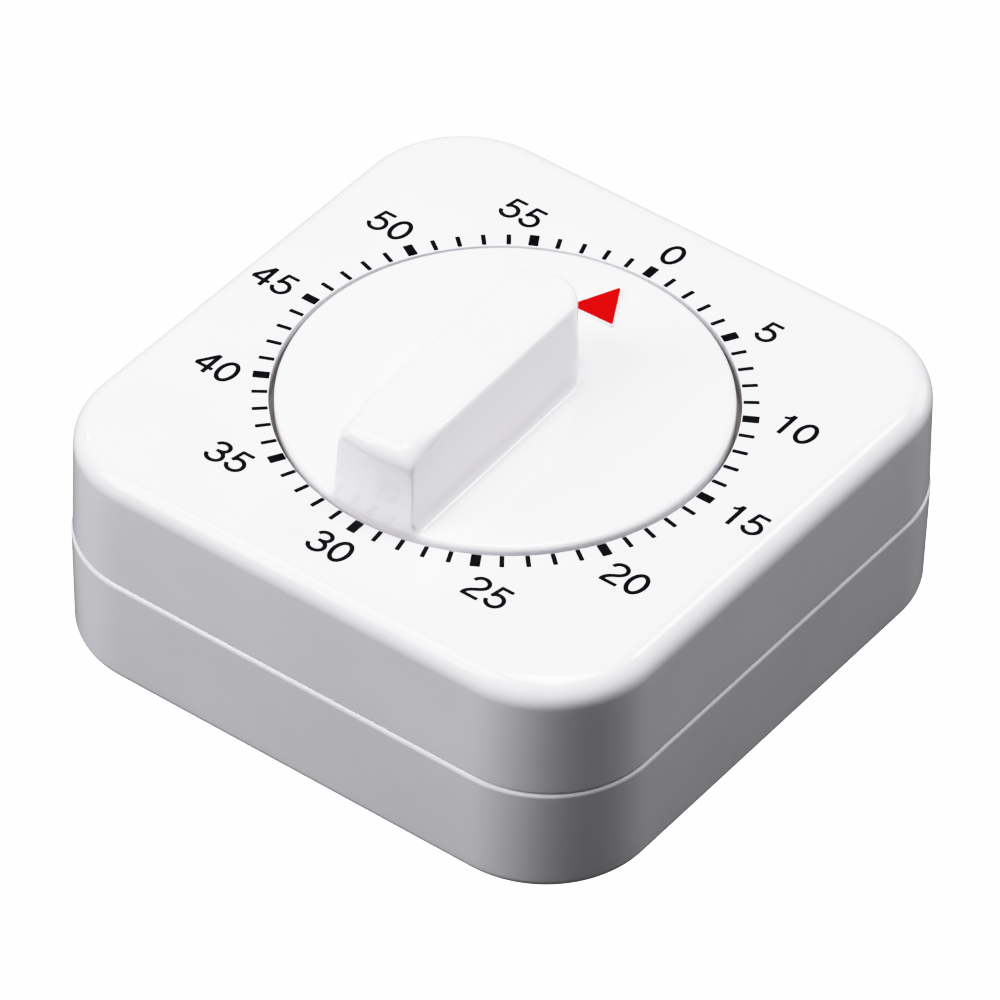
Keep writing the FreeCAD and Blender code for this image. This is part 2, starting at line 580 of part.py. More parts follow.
def upper_case():
    body = new_body("UpperCase")
    outside = sketch_on(body, "Sizes.parting_height")
    add_rounded_square(outside, "Sizes.case_side", "Sizes.case_corner")
    pad(body, outside, "Sizes.face_height - Sizes.parting_height", taper="-Sizes.upper_draft")
    fillet(body, "Sizes.top_edge_round", lambda edge: flat_at(edge, size("face_height")))

    inside = sketch_on(body, "Sizes.parting_height")
    add_rounded_square(inside, "Sizes.case_side - 2 * Sizes.wall", "Sizes.case_corner - Sizes.wall")
    pocket(body, inside, f"{CEILING} - Sizes.parting_height", upward=True)
    groove = sketch_on(body, "Sizes.parting_height")
    margin = "(Sizes.wall - Sizes.tongue_thickness - 2 * Sizes.tongue_gap)"
    add_rounded_square(groove, f"Sizes.case_side - 2 * {margin}", f"Sizes.case_corner - {margin}")
    pocket(body, groove, "Sizes.tongue_height + Sizes.tongue_gap", upward=True)

    cup = sketch_on(body, RECESS_UNDERSIDE)
    add_circle(cup, "Sizes.recess_radius + Sizes.cup_wall")
    pad(body, cup, f"{CEILING} + Sizes.wall / 2 - ({RECESS_UNDERSIDE})")
    recess = sketch_on(body, "Sizes.face_height")
    add_circle(recess, "Sizes.recess_radius")
    pocket(body, recess, "Sizes.face_height - Sizes.recess_floor_height")

    posts = sketch_on(body, TOP_PLATE_TOP)
    for x, y in MOUNTS:
        add_circle(posts, "Sizes.mount_post_radius", x, y)
    pad(body, posts, f"{RECESS_UNDERSIDE} - ({TOP_PLATE_TOP})")
    bosses = sketch_on(body, "Sizes.parting_height + Sizes.tongue_gap")
    for x, y in CORNERS:
        add_circle(bosses, "Sizes.boss_radius", x, y)
    pad(body, bosses, f"{CEILING} - Sizes.parting_height")

    pilots = sketch_on(body, "Sizes.parting_height")
    for x, y in CORNERS:
        add_circle(pilots, "Sizes.case_screw_radius + Sizes.fit_gap", x, y)
    pocket(body, pilots, "Sizes.case_screw_tip + Sizes.bore_spare - Sizes.parting_height", upward=True)
    mounts = sketch_on(body, TOP_PLATE_TOP)
    for x, y in MOUNTS:
        add_circle(mounts, "Sizes.mount_screw_radius + Sizes.fit_gap", x, y)
    pocket(body, mounts, "Sizes.mount_screw_length + Sizes.bore_spare", upward=True)
    bore = sketch_on(body, "Sizes.recess_floor_height")
    add_circle(bore, "Sizes.hub_bore_radius")
    pocket(body, bore, "Sizes.recess_floor_thickness")

    stop = sketch_on(body, "Sizes.recess_floor_height")
    add_circle(stop, "Sizes.stop_half_width", *polar("Sizes.stop_ring_radius", "Sizes.stop_post_angle"))
    pad(body, stop, "Sizes.stop_post_top - Sizes.recess_floor_height")
    node(body, "upper_case")


def lower_case():
    body = new_body("LowerCase")
    rim_side = "Sizes.case_side + 2 * Sizes.lower_proud"
    outside = sketch_on(body, "Sizes.parting_height")
    add_rounded_square(outside, rim_side, "Sizes.case_corner + Sizes.lower_proud")
    pad(body, outside, "Sizes.parting_height", downward=True, taper="-Sizes.lower_draft")
    fillet(body, "Sizes.base_edge_round", lambda edge: flat_at(edge, 0))
    fillet(body, "Sizes.parting_edge_round", lambda edge: flat_at(edge, size("parting_height")))

    inside = sketch_on(body, "Sizes.parting_height")
    add_rounded_square(inside, "Sizes.case_side - 2 * Sizes.wall", "Sizes.case_corner - Sizes.wall")
    pocket(body, inside, "Sizes.parting_height - Sizes.wall")
    tongue = sketch_on(body, "Sizes.parting_height - Sizes.tongue_height")
    margin = "(Sizes.wall - Sizes.tongue_thickness - Sizes.tongue_gap)"
    add_rounded_square(tongue, f"Sizes.case_side - 2 * {margin}", f"Sizes.case_corner - {margin}")
    inner = "(Sizes.wall - Sizes.tongue_gap)"
    add_rounded_square(tongue, f"Sizes.case_side - 2 * {inner}", f"Sizes.case_corner - {inner}")
    pad(body, tongue, "2 * Sizes.tongue_height")

    bosses = sketch_on(body, "Sizes.wall / 2")
    for x, y in CORNERS:
        add_circle(bosses, "Sizes.boss_radius", x, y)
    pad(body, bosses, "Sizes.parting_height - Sizes.wall / 2")
    bell_boss = sketch_on(body, "Sizes.wall / 2")
    add_circle(bell_boss, "Sizes.bell_boss_radius")
    pad(body, bell_boss, "Sizes.bell_bottom - Sizes.wall / 2")

    heads = sketch_on(body, "0")
    for x, y in CORNERS:
        add_circle(heads, "Sizes.case_screw_head_radius + Sizes.case_screw_clearance", x, y)
    pocket(body, heads, "Sizes.case_screw_head_top", upward=True)
    shanks = sketch_on(body, "0")
    for x, y in CORNERS:
        add_circle(shanks, "Sizes.case_screw_radius + Sizes.case_screw_clearance", x, y)
    pocket(body, shanks, "Sizes.face_height", upward=True)
    bell_pilot = sketch_on(body, "Sizes.bell_bottom")
    add_circle(bell_pilot, "Sizes.bell_screw_radius + Sizes.fit_gap")
    pocket(body, bell_pilot, "Sizes.wall")
    node(body, "lower_case")


def slotted(screw, centre, slot_bottom, head_radius, width, depth):
    """Cut a driver slot right across a screw's head."""
    slot = doc.addObject("Part::Box", "Slot")
    x, y = centre
    bind(
        slot, Length=f"4 * {head_radius}", Width=width, Height=depth,
        Placement__Base__x=f"{x} - 2 * {head_radius}",
        Placement__Base__y=f"{y} - {width} / 2",
        Placement__Base__z=slot_bottom,
    )
    return cut(screw, slot)


def small_slotted(screw, centre, slot_bottom):
    return slotted(
        screw, centre, slot_bottom,
        "Sizes.small_head_radius", "Sizes.small_slot_width", "Sizes.small_slot_depth",
    )


def case_screws():
    screws = []
    seat = "Sizes.case_screw_head_top"
    bottom = f"{seat} - Sizes.case_screw_head_height"
    steps = [
        ("Sizes.case_screw_head_radius", bottom, seat),
        ("Sizes.case_screw_radius", seat, "Sizes.case_screw_tip"),
    ]
    for x, y in CORNERS:
        screws.append(slotted(
            turned("CaseScrew", steps, x=x, y=y), (x, y), bottom,
            "Sizes.case_screw_head_radius", "Sizes.case_slot_width", "Sizes.case_slot_depth",
        ))
    node(gathered(screws), "case_screws")


# ---------------------------------------------------------------- movement frame

def plate_with_holes(label, height, holes):
    body = new_body("Plate")
    sketch = sketch_on(body, height)
    add_circle(sketch, "Sizes.plate_radius")
    for radius, (x, y) in holes:
        add_circle(sketch, radius, x, y)
    pad(body, sketch, "Sizes.plate_thickness")
    node(body, label)


def plates():
    pivot = "Sizes.pivot_radius + Sizes.running_gap"
    lever_pivot = "Sizes.stud_radius + Sizes.running_gap"
    train = [(pivot, place) for place in (SECOND, THIRD, ESCAPE, PALLET, ALARM)]
    rivets = [("Sizes.pillar_tenon_radius + Sizes.fit_gap", place) for place in PILLARS]
    screws = [("Sizes.pillar_screw_radius + Sizes.hole_clearance", place) for place in PILLARS]
    posts = [("Sizes.mount_screw_radius + Sizes.hole_clearance", place) for place in MOUNTS]
    bush = [("Sizes.bush_barrel_radius + Sizes.fit_gap", ("0", "0"))]
    lower_end = [("Sizes.arbor_pivot_radius + Sizes.running_gap", ("0", "0"))]
    hammer = [(lever_pivot, HAMMER)]
    release = [(lever_pivot, RELEASE)]
    anchor = [("Sizes.stud_radius + Sizes.fit_gap", ANCHOR)]
    upper_holes = train + rivets + posts + bush + hammer + release
    lower_holes = train + screws + lower_end + hammer + anchor
    plate_with_holes("top_plate", "Sizes.top_plate_height", upper_holes)
    plate_with_holes("bottom_plate", "Sizes.bottom_plate_height", lower_holes)


def pillars():
    made = []
    steps = [
        ("Sizes.pillar_radius", BOTTOM_PLATE_TOP, "Sizes.top_plate_height"),
        ("Sizes.pillar_tenon_radius", "Sizes.top_plate_height", TOP_PLATE_TOP),
    ]
    for x, y in PILLARS:
        pillar = turned("Pillar", steps, x=x, y=y)
        hole = doc.addObject("Part::Cylinder", "ThreadHole")
        bind(
            hole, Radius="Sizes.pillar_screw_radius + Sizes.fit_gap",
            Height="Sizes.pillar_screw_depth + Sizes.bore_spare",
            Placement__Base__x=x, Placement__Base__y=y, Placement__Base__z=BOTTOM_PLATE_TOP,
        )
        made.append(cut(pillar, hole))
    node(gathered(made), "plate_pillars")


def pillar_screws():
    screws = []
    bottom = "Sizes.bottom_plate_height - Sizes.small_head_height"
    tip = f"{BOTTOM_PLATE_TOP} + Sizes.pillar_screw_depth"
    steps = [
        ("Sizes.small_head_radius", bottom, "Sizes.bottom_plate_height"),
        ("Sizes.pillar_screw_radius", "Sizes.bottom_plate_height", tip),
    ]
    for x, y in PILLARS:
        screws.append(small_slotted(turned("PillarScrew", steps, x=x, y=y), (x, y), bottom))
    node(gathered(screws), "pillar_screws")


def movement_screws():
    screws = []
    bottom = "Sizes.top_plate_height - Sizes.small_head_height"
    tip = f"{TOP_PLATE_TOP} + Sizes.mount_screw_length"
    steps = [
        ("Sizes.small_head_radius", bottom, "Sizes.top_plate_height"),
        ("Sizes.mount_screw_radius", "Sizes.top_plate_height", tip),
    ]
    for x, y in MOUNTS:
        screws.append(small_slotted(turned("MountScrew", steps, x=x, y=y), (x, y), bottom))
    node(gathered(screws), "movement_screws")


def main_bush():
    steps = [
        ("Sizes.bush_barrel_radius", "Sizes.top_plate_height", TOP_PLATE_TOP),
        ("Sizes.bush_radius", TOP_PLATE_TOP, f"{TOP_PLATE_TOP} + Sizes.bush_flange_height"),
    ]
    node(turned("MainBush", steps, bore="Sizes.arbor_radius + Sizes.running_gap"), "main_bush")


def spring_anchor():
    steps = [
        ("Sizes.stud_radius", "Sizes.bottom_plate_height", BOTTOM_PLATE_TOP),
        ("Sizes.anchor_radius", BOTTOM_PLATE_TOP, "Sizes.anchor_top"),
    ]
    node(turned("SpringAnchor", steps, x=ANCHOR[0], y=ANCHOR[1]), "spring_anchor")


# ---------------------------------------------------------------- bell

def rounded_disc(name, radius, bottom, edge_round):
    """A disc up to the bell's rim, with its lower edge rounded."""
    body = new_body(name)
    circle = sketch_on(body, bottom)
    add_circle(circle, radius)
    pad(body, circle, f"Sizes.bell_rim - ({bottom})")
    fillet(body, edge_round, lambda edge: flat_at(edge, number(bottom)))
    return body


def bell():
    outside = rounded_disc("BellOutside", "Sizes.bell_radius", "Sizes.bell_bottom", "Sizes.bell_round")
    inside = rounded_disc(
        "BellInside", "Sizes.bell_radius - Sizes.bell_wall", "Sizes.bell_bottom + Sizes.bell_wall",
        "Sizes.bell_round - Sizes.bell_wall",
    )
    hole = doc.addObject("Part::Cylinder", "BellHole")
    bind(hole, Radius="Sizes.bell_screw_radius + Sizes.hole_clearance", Height="Sizes.bell_rim")
    node(cut(cut(outside, inside), hole), "bell")


def bell_screw():
    seat = "Sizes.bell_bottom + Sizes.bell_wall"
    top = f"{seat} + Sizes.bell_screw_head_height"
    steps = [
        ("Sizes.bell_screw_radius", "Sizes.bell_screw_bottom", seat),
        ("Sizes.bell_screw_head_radius", seat, top),
    ]
    screw = slotted(
        turned("BellScrew", steps), ("0", "0"), f"{top} - Sizes.bell_slot_depth",
        "Sizes.bell_screw_head_radius", "Sizes.case_slot_width", "Sizes.bell_slot_depth",
    )
    node(screw, "bell_screw")


# ---------------------------------------------------------------- dial and main arbor

def add_bar_outline(sketch, half_width):
    """Plan of the grip bar: square near end beyond the dial's edge, straight sides, round far end."""
    half, near, far = number(half_width), -size("bar_overrun"), size("bar_far_centre")
    corners = [Vector(-half, far, 0), Vector(-half, near, 0), Vector(half, near, 0), Vector(half, far, 0)]
    left, end, right = [sketch.addGeometry(Part.LineSegment(corners[i], corners[i + 1])) for i in range(3)]
    circle = Part.Circle(Vector(0, far, 0), UP, half)
    tip = sketch.addGeometry(Part.ArcOfCircle(circle, 0, math.pi))
    for kind, *items in [
        ("Coincident", left, 2, end, 1),
        ("Coincident", end, 2, right, 1),
        ("Tangent", right, 2, tip, 1),
        ("Tangent", tip, 2, left, 1),
        ("Horizontal", end),
        ("Vertical", right),
        ("PointOnObject", tip, 3, -2),
    ]:
        sketch.addConstraint(Sketcher.Constraint(kind, *items))
    constrain(sketch, "Radius", tip, value=half_width)
    constrain(sketch, "DistanceY", -1, 1, tip, 3, value="Sizes.bar_far_centre")
    constrain(sketch, "DistanceY", -1, 1, end, 1, value="-Sizes.bar_overrun")


def dial_edge_radius(height):
    """The drafted outside of the dial, which is also the near end wall of the bar."""
    return size("dial_radius") - (height - size("dial_top")) * math.tan(math.radians(size("dial_draft")))


def dial_knob():
    body = new_body("DialKnob")
    disc = sketch_on(body, "Sizes.dial_bottom")
    add_circle(disc, "Sizes.dial_blank_radius")
    pad(body, disc, "Sizes.dial_top - Sizes.dial_bottom")
    foot = sketch_on(body, "Sizes.bar_foot_height")
    add_bar_outline(foot, "Sizes.bar_foot_half_width")
    crest = sketch_on(body, "Sizes.bar_top")
    add_bar_outline(crest, "Sizes.bar_half_width")
    bar = body.newObject("PartDesign::AdditiveLoft", "Bar")
    bar.Profile = foot
    bar.Sections = [crest]
    bar.Ruled = True
    doc.recompute()

    bar_top, dial_top = size("bar_top"), size("dial_top")

    def on_bar_foot(edge):
        reach = max(abs(vertex.X) for vertex in edge.Vertexes)
        return flat_at(edge, dial_top) and reach < size("bar_foot_half_width") + size("bar_foot_round")

    fillet(body, "Sizes.bar_foot_round", on_bar_foot)
    trim = sketch_on(body, role="XZ_Plane")
    lean = "tan(Sizes.dial_draft)"
    above, below = "Sizes.bar_top + Sizes.cut_margin", "Sizes.dial_bottom - Sizes.cut_margin"
    clear = "Sizes.bar_overrun + Sizes.cut_margin"
    add_polygon(trim, [
        (f"Sizes.dial_radius - ({below} - Sizes.dial_top) * {lean}", below),
        (clear, below),
        (clear, above),
        (f"Sizes.dial_radius - ({above} - Sizes.dial_top) * {lean}", above),
    ])
    groove = body.newObject("PartDesign::Groove", "Trim")
    groove.Profile = trim
    groove.ReferenceAxis = (trim, ["V_Axis"])
    groove.Angle = 360
    doc.recompute()

    def on_dial_edge(edge):
        on_edge = all(abs(math.hypot(v.X, v.Y) - dial_edge_radius(v.Z)) < TOUCHING for v in edge.Vertexes)
        return on_edge and edge.BoundBox.ZMin > dial_top - TOUCHING and not flat_at(edge, bar_top)

    fillet(body, "Sizes.dial_rim_round", on_dial_edge)
    fillet(body, "Sizes.bar_edge_round", lambda edge: flat_at(edge, bar_top))

    hollow = sketch_on(body, "Sizes.dial_bottom")
    inner = "(Sizes.bar_half_width - Sizes.bar_wall)"
    near, far = "-(Sizes.dial_radius - 1.5 * Sizes.bar_wall)", "Sizes.bar_far_centre"
    add_polygon(hollow, [(f"-{inner}", near), (inner, near), (inner, far), (f"-{inner}", far)])
    pocket(body, hollow, "Sizes.bar_top - Sizes.bar_wall - Sizes.dial_bottom", upward=True)
    stop_ring = sketch_on(body, "Sizes.dial_bottom")
    add_circle(stop_ring, "Sizes.dial_radius - Sizes.dial_lip")
    add_circle(stop_ring, "2 * Sizes.stop_ring_radius - Sizes.dial_radius + Sizes.dial_lip")
    pocket(body, stop_ring, "Sizes.stop_hollow_top - Sizes.dial_bottom", upward=True)
    stop = sketch_on(body, "Sizes.dial_bottom")
    add_circle(stop, "Sizes.stop_half_width", "-Sizes.stop_ring_radius", "0")
    pad(body, stop, "Sizes.dial_top - Sizes.dial_bottom")

    hub = sketch_on(body, "Sizes.hub_bottom")
    add_circle(hub, "Sizes.hub_radius")
    pad(body, hub, "Sizes.bar_top - Sizes.bar_wall - Sizes.hub_bottom")
    socket = sketch_on(body, "Sizes.hub_bottom")
    add_circle(socket, "Sizes.arbor_radius + Sizes.fit_gap")
    pocket(body, socket, "Sizes.arbor_top + Sizes.bore_spare - Sizes.hub_bottom", upward=True)
    key = sketch_on(body, "Sizes.hub_bottom")
    flat = "Sizes.arbor_flat + Sizes.fit_gap"
    reach, wide = "Sizes.socket_flat_reach", "Sizes.socket_flat_half_width"
    add_polygon(key, [(flat, f"-{wide}"), (reach, f"-{wide}"), (reach, wide), (flat, wide)])
    pad(body, key, "Sizes.arbor_top + Sizes.bore_spare - Sizes.hub_bottom")

    pointer = sketch_on(body, "Sizes.dial_top")
    add_polygon(pointer, [
        ("-Sizes.pointer_half_width", "Sizes.pointer_base"),
        ("Sizes.pointer_half_width", "Sizes.pointer_base"),
        ("0", "Sizes.pointer_tip"),
    ])
    pad(body, pointer, "Sizes.pointer_height")

    def pointer_upright(edge):
        box = edge.BoundBox
        at_top = abs(box.ZMax - dial_top - size("pointer_height")) < TOUCHING
        return at_top and abs(box.ZLength - size("pointer_height")) < TOUCHING

    fillet(body, "Sizes.pointer_round", pointer_upright)
    body.Placement.Rotation = Rotation(UP, size("dial_rest_angle"))
    bind(body, Placement__Rotation__Angle="Sizes.dial_rest_angle")
    node(body, "dial_knob")


def main_arbor():
    steps = [
        ("Sizes.arbor_pivot_radius", "Sizes.bottom_plate_height", f"{BOTTOM_PLATE_TOP} + Sizes.end_shake"),
        ("Sizes.arbor_radius", f"{BOTTOM_PLATE_TOP} + Sizes.end_shake", "Sizes.arbor_top"),
    ]
    shaft = turned("MainArbor", steps)
    flat = doc.addObject("Part::Box", "Flat")
    bind(
        flat, Length="Sizes.arbor_radius", Width="4 * Sizes.arbor_radius", Height="Sizes.arbor_top",
        Placement__Base__x="Sizes.arbor_flat", Placement__Base__y="-2 * Sizes.arbor_radius",
        Placement__Base__z="Sizes.arbor_flat_bottom",
    )
    arbor = cut(shaft, flat)
    arbor.Placement.Rotation = Rotation(UP, size("dial_rest_angle"))
    bind(arbor, Placement__Rotation__Angle="Sizes.dial_rest_angle")
    node(arbor, "main_arbor")


def ratchet_wheel():
    wire = saw_wire(count("ratchet_teeth"), size("ratchet_radius"), size("ratchet_root_radius"), 0.0)
    face = ring_face(wire, size("arbor_radius") + size("fit_gap"))
    bottom, thickness = "Sizes.ratchet_height", "Sizes.ratchet_thickness"
    node(plate("RatchetWheel", face, bottom, thickness, turn="Sizes.click_tooth_angle"), "ratchet_wheel")


def wheel_clip():
    bottom = "Sizes.main_wheel_height + Sizes.main_wheel_thickness + Sizes.end_shake"
    steps = [("Sizes.clip_radius", bottom, f"{bottom} + Sizes.clip_thickness")]
    node(turned("WheelClip", steps, bore="Sizes.arbor_radius + Sizes.fit_gap"), "wheel_clip")


def release_cam():
    disc = turned(
        "ReleaseCam", [("Sizes.cam_radius", "Sizes.cam_height", "Sizes.cam_height + Sizes.cam_thickness")],
        bore="Sizes.arbor_radius + Sizes.fit_gap",
    )
    notch = doc.addObject("Part::Box", "Notch")
    bind(
        notch, Length="2 * Sizes.cam_notch_depth", Width="Sizes.cam_notch_width",
        Height="2 * Sizes.cam_thickness",
        Placement__Base__x="Sizes.cam_radius - Sizes.cam_notch_depth",
        Placement__Base__y="-Sizes.cam_notch_width / 2",
        Placement__Base__z="Sizes.cam_height - Sizes.cam_thickness / 2",
    )
    cam = cut(disc, notch)
    cam.Placement.Rotation = Rotation(UP, size("cam_notch_angle"))
    bind(cam, Placement__Rotation__Angle="Sizes.cam_notch_angle")
    node(cam, "release_cam")


def mainspring():
    """Flat strip wound in an even spiral of half circles, with its outer end bent round the post."""
    inner, outer, turns = size("spring_inner_radius"), size("spring_outer_radius"), count("spring_turns")
    pitch = (outer - inner) / turns
    half = size("spring_strip") / 2
    start = size("anchor_angle") - 360 * turns

    def spiral(offset):
        arcs = []
        for half_turn in range(2 * turns):
            heading = start + 180 * half_turn
            centre = -around(pitch / 4, heading)
            radius = inner + (2 * half_turn + 1) * pitch / 4 + offset
            first, middle, last = [centre + around(radius, heading + turn) for turn in (0, 90, 180)]
            arcs.append(Part.Arc(first, middle, last).toShape())
        return arcs

    inside, outside = spiral(-half), spiral(half)
    ends = [
        Part.LineSegment(inside[0].Vertexes[0].Point, outside[0].Vertexes[0].Point).toShape(),
        Part.LineSegment(inside[-1].Vertexes[-1].Point, outside[-1].Vertexes[-1].Point).toShape(),
    ]
    strip = Part.Face(Part.Wire(Part.__sortEdges__(inside + outside + ends)))
    post_gap = size("anchor_radius") + size("fit_gap")
    eye = ring_face(round_wire(post_gap + size("spring_strip")), post_gap)
    eye.translate(around(size("anchor_distance"), size("anchor_angle")))
    hook_half = size("spring_hook_half_width")
    hook_start = around(size("arbor_radius") + size("fit_gap") + hook_half, start)
    hook = link_face(hook_start, hook_half, around(inner, start), hook_half)
    item = stamped("Mainspring", [strip, eye, hook], [], "Sizes.spring_bottom", "Sizes.spring_height")
    node(item, "mainspring")


# ---------------------------------------------------------------- wheels and pinions

def mesh_phase(teeth, phase, leaves, direction):
    """Turn, in degrees, that puts a pinion's gap opposite a wheel's tooth along the line of centres."""
    pitch = 360 / teeth
    share = ((direction - phase) / pitch) % 1
    return direction + 180 - (0.5 - share) * 360 / leaves


MAIN_PHASE = 0.0
SECOND_PHASE = mesh_phase(size("main_teeth"), MAIN_PHASE, size("coarse_leaves"), size("second_angle"))
THIRD_PHASE = mesh_phase(size("second_teeth"), SECOND_PHASE, size("fine_leaves"), size("third_angle"))
ESCAPE_PHASE = mesh_phase(size("third_teeth"), THIRD_PHASE, size("fine_leaves"), size("escape_angle"))
ALARM_PHASE = mesh_phase(size("main_teeth"), MAIN_PHASE, size("coarse_leaves"), size("alarm_angle"))


def wheel_wire(teeth, module):
    return gear_wire(count(teeth), size(module), size("wheel_addendum"), size("wheel_dedendum"))


def main_wheel():
    face = ring_face(wheel_wire("main_teeth", "main_module"), size("arbor_radius") + size("running_gap"))
    stud = around(size("click_pivot_distance"), 0)
    face = face.cut(round_face(size("stud_radius") + size("fit_gap"), stud))
    for angle in MAIN_WINDOW_ANGLES:
        window = around(size("main_window_distance"), angle)
        face = face.cut(round_face(size("main_window_radius"), window))
    bottom, thickness = "Sizes.main_wheel_height", "Sizes.main_wheel_thickness"
    node(plate("MainWheel", face, bottom, thickness, turn=MAIN_PHASE), "main_wheel")


def train_wheel(label, wire, place, height, phase):
    """A wheel on a train arbor, with its ring of lightening holes."""
    face = ring_face(wire, size("shaft_radius") + size("fit_gap"))
    holes, distance, radius = WINDOWS[label]
    for hole in range(holes):
        face = face.cut(round_face(radius, around(distance, 360 * hole / holes)))
    node(plate(label, face, height, "Sizes.wheel_thickness", *place, turn=phase), label)


def train_arbor(place):
    """An arbor between the plates, with a thin pivot in each of them."""
    lower = f"{BOTTOM_PLATE_TOP} + Sizes.end_shake"
    upper = "Sizes.top_plate_height - Sizes.end_shake"
    steps = [
        ("Sizes.pivot_radius", "Sizes.bottom_plate_height", lower),
        ("Sizes.shaft_radius", lower, upper),
        ("Sizes.pivot_radius", upper, TOP_PLATE_TOP),
    ]
    return turned("Arbor", steps, x=place[0], y=place[1])


def train_pinion(label, place, driver, phase):
    """A pinion cut in one with its arbor, its leaves level with the wheel that drives it."""
    if driver == "main_wheel":
        leaves, module, thickness = "coarse_leaves", "main_module", "Sizes.main_wheel_thickness"
    else:
        leaves, module, thickness = "fine_leaves", "fine_module", "Sizes.wheel_thickness"
    wire = gear_wire(count(leaves), size(module), size("pinion_addendum"), size("pinion_dedendum"))
    bottom = f"Sizes.{driver}_height - Sizes.leaf_margin"
    length = f"{thickness} + 2 * Sizes.leaf_margin"
    leaf_ring = plate("Leaves", Part.Face(wire), bottom, length, *place, turn=phase)
    node(fused(train_arbor(place), leaf_ring), label)


def going_train():
    second = wheel_wire("second_teeth", "fine_module")
    third = wheel_wire("third_teeth", "fine_module")
    escape = saw_wire(
        count("escape_teeth"), size("escape_radius"), size("escape_root_radius"), size("escape_lean"),
    )
    train_wheel("second_wheel", second, SECOND, "Sizes.second_wheel_height", SECOND_PHASE)
    train_wheel("third_wheel", third, THIRD, "Sizes.third_wheel_height", THIRD_PHASE)
    train_wheel("escape_wheel", escape, ESCAPE, "Sizes.escape_wheel_height", 0)
    for label, place, driver, phase in [
        ("second_pinion", SECOND, "main_wheel", SECOND_PHASE),
        ("alarm_pinion", ALARM, "main_wheel", ALARM_PHASE),
        ("third_pinion", THIRD, "second_wheel", THIRD_PHASE),
        ("escape_pinion", ESCAPE, "third_wheel", ESCAPE_PHASE),
    ]:
        train_pinion(label, place, driver, phase)


def alarm_wheel():
    star = saw_wire(
        count("alarm_teeth"), size("alarm_radius"), size("alarm_root_radius"), size("alarm_lean"),
    )
    train_wheel("alarm_wheel", star, ALARM, "Sizes.alarm_wheel_height", 0)


# ---------------------------------------------------------------- click work

CLICK_PIVOT = ("Sizes.click_pivot_distance", "0")


def click_parts():
    collar_top = "Sizes.ratchet_height - Sizes.end_shake"
    steps = [
        ("Sizes.stud_collar_radius", "Sizes.click_stud_bottom", collar_top),
        ("Sizes.stud_radius", collar_top, "Sizes.main_wheel_height + Sizes.main_wheel_thickness"),
    ]
    node(turned("ClickStud", steps, x=CLICK_PIVOT[0], y=CLICK_PIVOT[1]), "click_stud")

    pivot = around(size("click_pivot_distance"), 0)
    face_gap = size("click_nose_radius") + size("click_tooth_gap")
    nose_angle = size("click_tooth_angle") - math.degrees(face_gap / size("click_nose_distance"))
    nose = around(size("click_nose_distance"), nose_angle)
    blade = link_face(Vector(), size("click_hub_radius"), nose - pivot, size("click_nose_radius"))
    tail_end = Vector(size("click_tail_length"), 0, 0)
    tail = link_face(Vector(), size("click_hub_radius"), tail_end, size("click_tail_radius"))
    hole = round_face(size("stud_radius") + size("running_gap"))
    click = stamped(
        "Click", [blade, tail], [hole], "Sizes.ratchet_height", "Sizes.ratchet_thickness", *CLICK_PIVOT,
    )
    node(click, "click")

    level = "Sizes.ratchet_height + Sizes.click_spring_lift"
    spring = doc.addObject("Part::Box", "ClickSpring")
    bind(
        spring, Length="Sizes.click_spring_strip", Width="Sizes.click_spring_length",
        Height="Sizes.ratchet_thickness",
        Placement__Base__x="Sizes.click_pivot_distance + Sizes.click_spring_distance",
        Placement__Base__y="-Sizes.click_spring_length", Placement__Base__z=level,
    )
    foot = doc.addObject("Part::Cylinder", "ClickSpringFoot")
    bind(
        foot, Radius="Sizes.click_spring_foot_radius", Height=f"Sizes.main_wheel_height - ({level})",
        Placement__Base__x="Sizes.click_pivot_distance + Sizes.click_spring_foot_distance",
        Placement__Base__y="-Sizes.click_spring_length", Placement__Base__z=level,
    )
    node(fused(spring, foot), "click_spring")


# ---------------------------------------------------------------- pallet, hammer and release levers

def pallet_parts():
    node(train_arbor(PALLET), "pallet_arbor")

    to_escape = -around(size("pallet_distance"), size("pallet_angle"))
    hub = size("lever_hub_radius")
    pins = []
    arms = []
    for side in (-1, 1):
        pin_angle = size("pallet_angle") + side * size("pallet_pin_spread")
        arm_angle = size("pallet_angle") + side * size("balance_arm_spread")
        pin = to_escape + around(size("pallet_pin_circle"), pin_angle)
        weight = around(size("balance_arm_length"), arm_angle)
        pins.append(pin)
        arms.append(link_face(Vector(), hub, pin, size("pallet_end_radius")))
        arms.append(link_face(Vector(), size("balance_root_radius"), weight, size("lever_end_radius")))
    holes = [round_face(size("shaft_radius") + size("fit_gap"))]
    holes += [round_face(size("pallet_pin_radius") + size("fit_gap"), pin) for pin in pins]
    bottom, thickness = "Sizes.pallet_lever_height", "Sizes.lever_thickness"
    node(stamped("PalletLever", arms, holes, bottom, thickness, *PALLET), "pallet_lever")

    pin_bottom = "(Sizes.escape_wheel_height - Sizes.pallet_pin_overhang)"
    made = []
    for pin in pins:
        post = doc.addObject("Part::Cylinder", "PalletPin")
        bind(
            post, Radius="Sizes.pallet_pin_radius",
            Height=f"{bottom} + {thickness} - {pin_bottom}",
        )
        post.Placement.Base = Vector(number(PALLET[0]), number(PALLET[1]), number(pin_bottom)) + pin
        made.append(post)
    node(gathered(made), "pallet_pins")


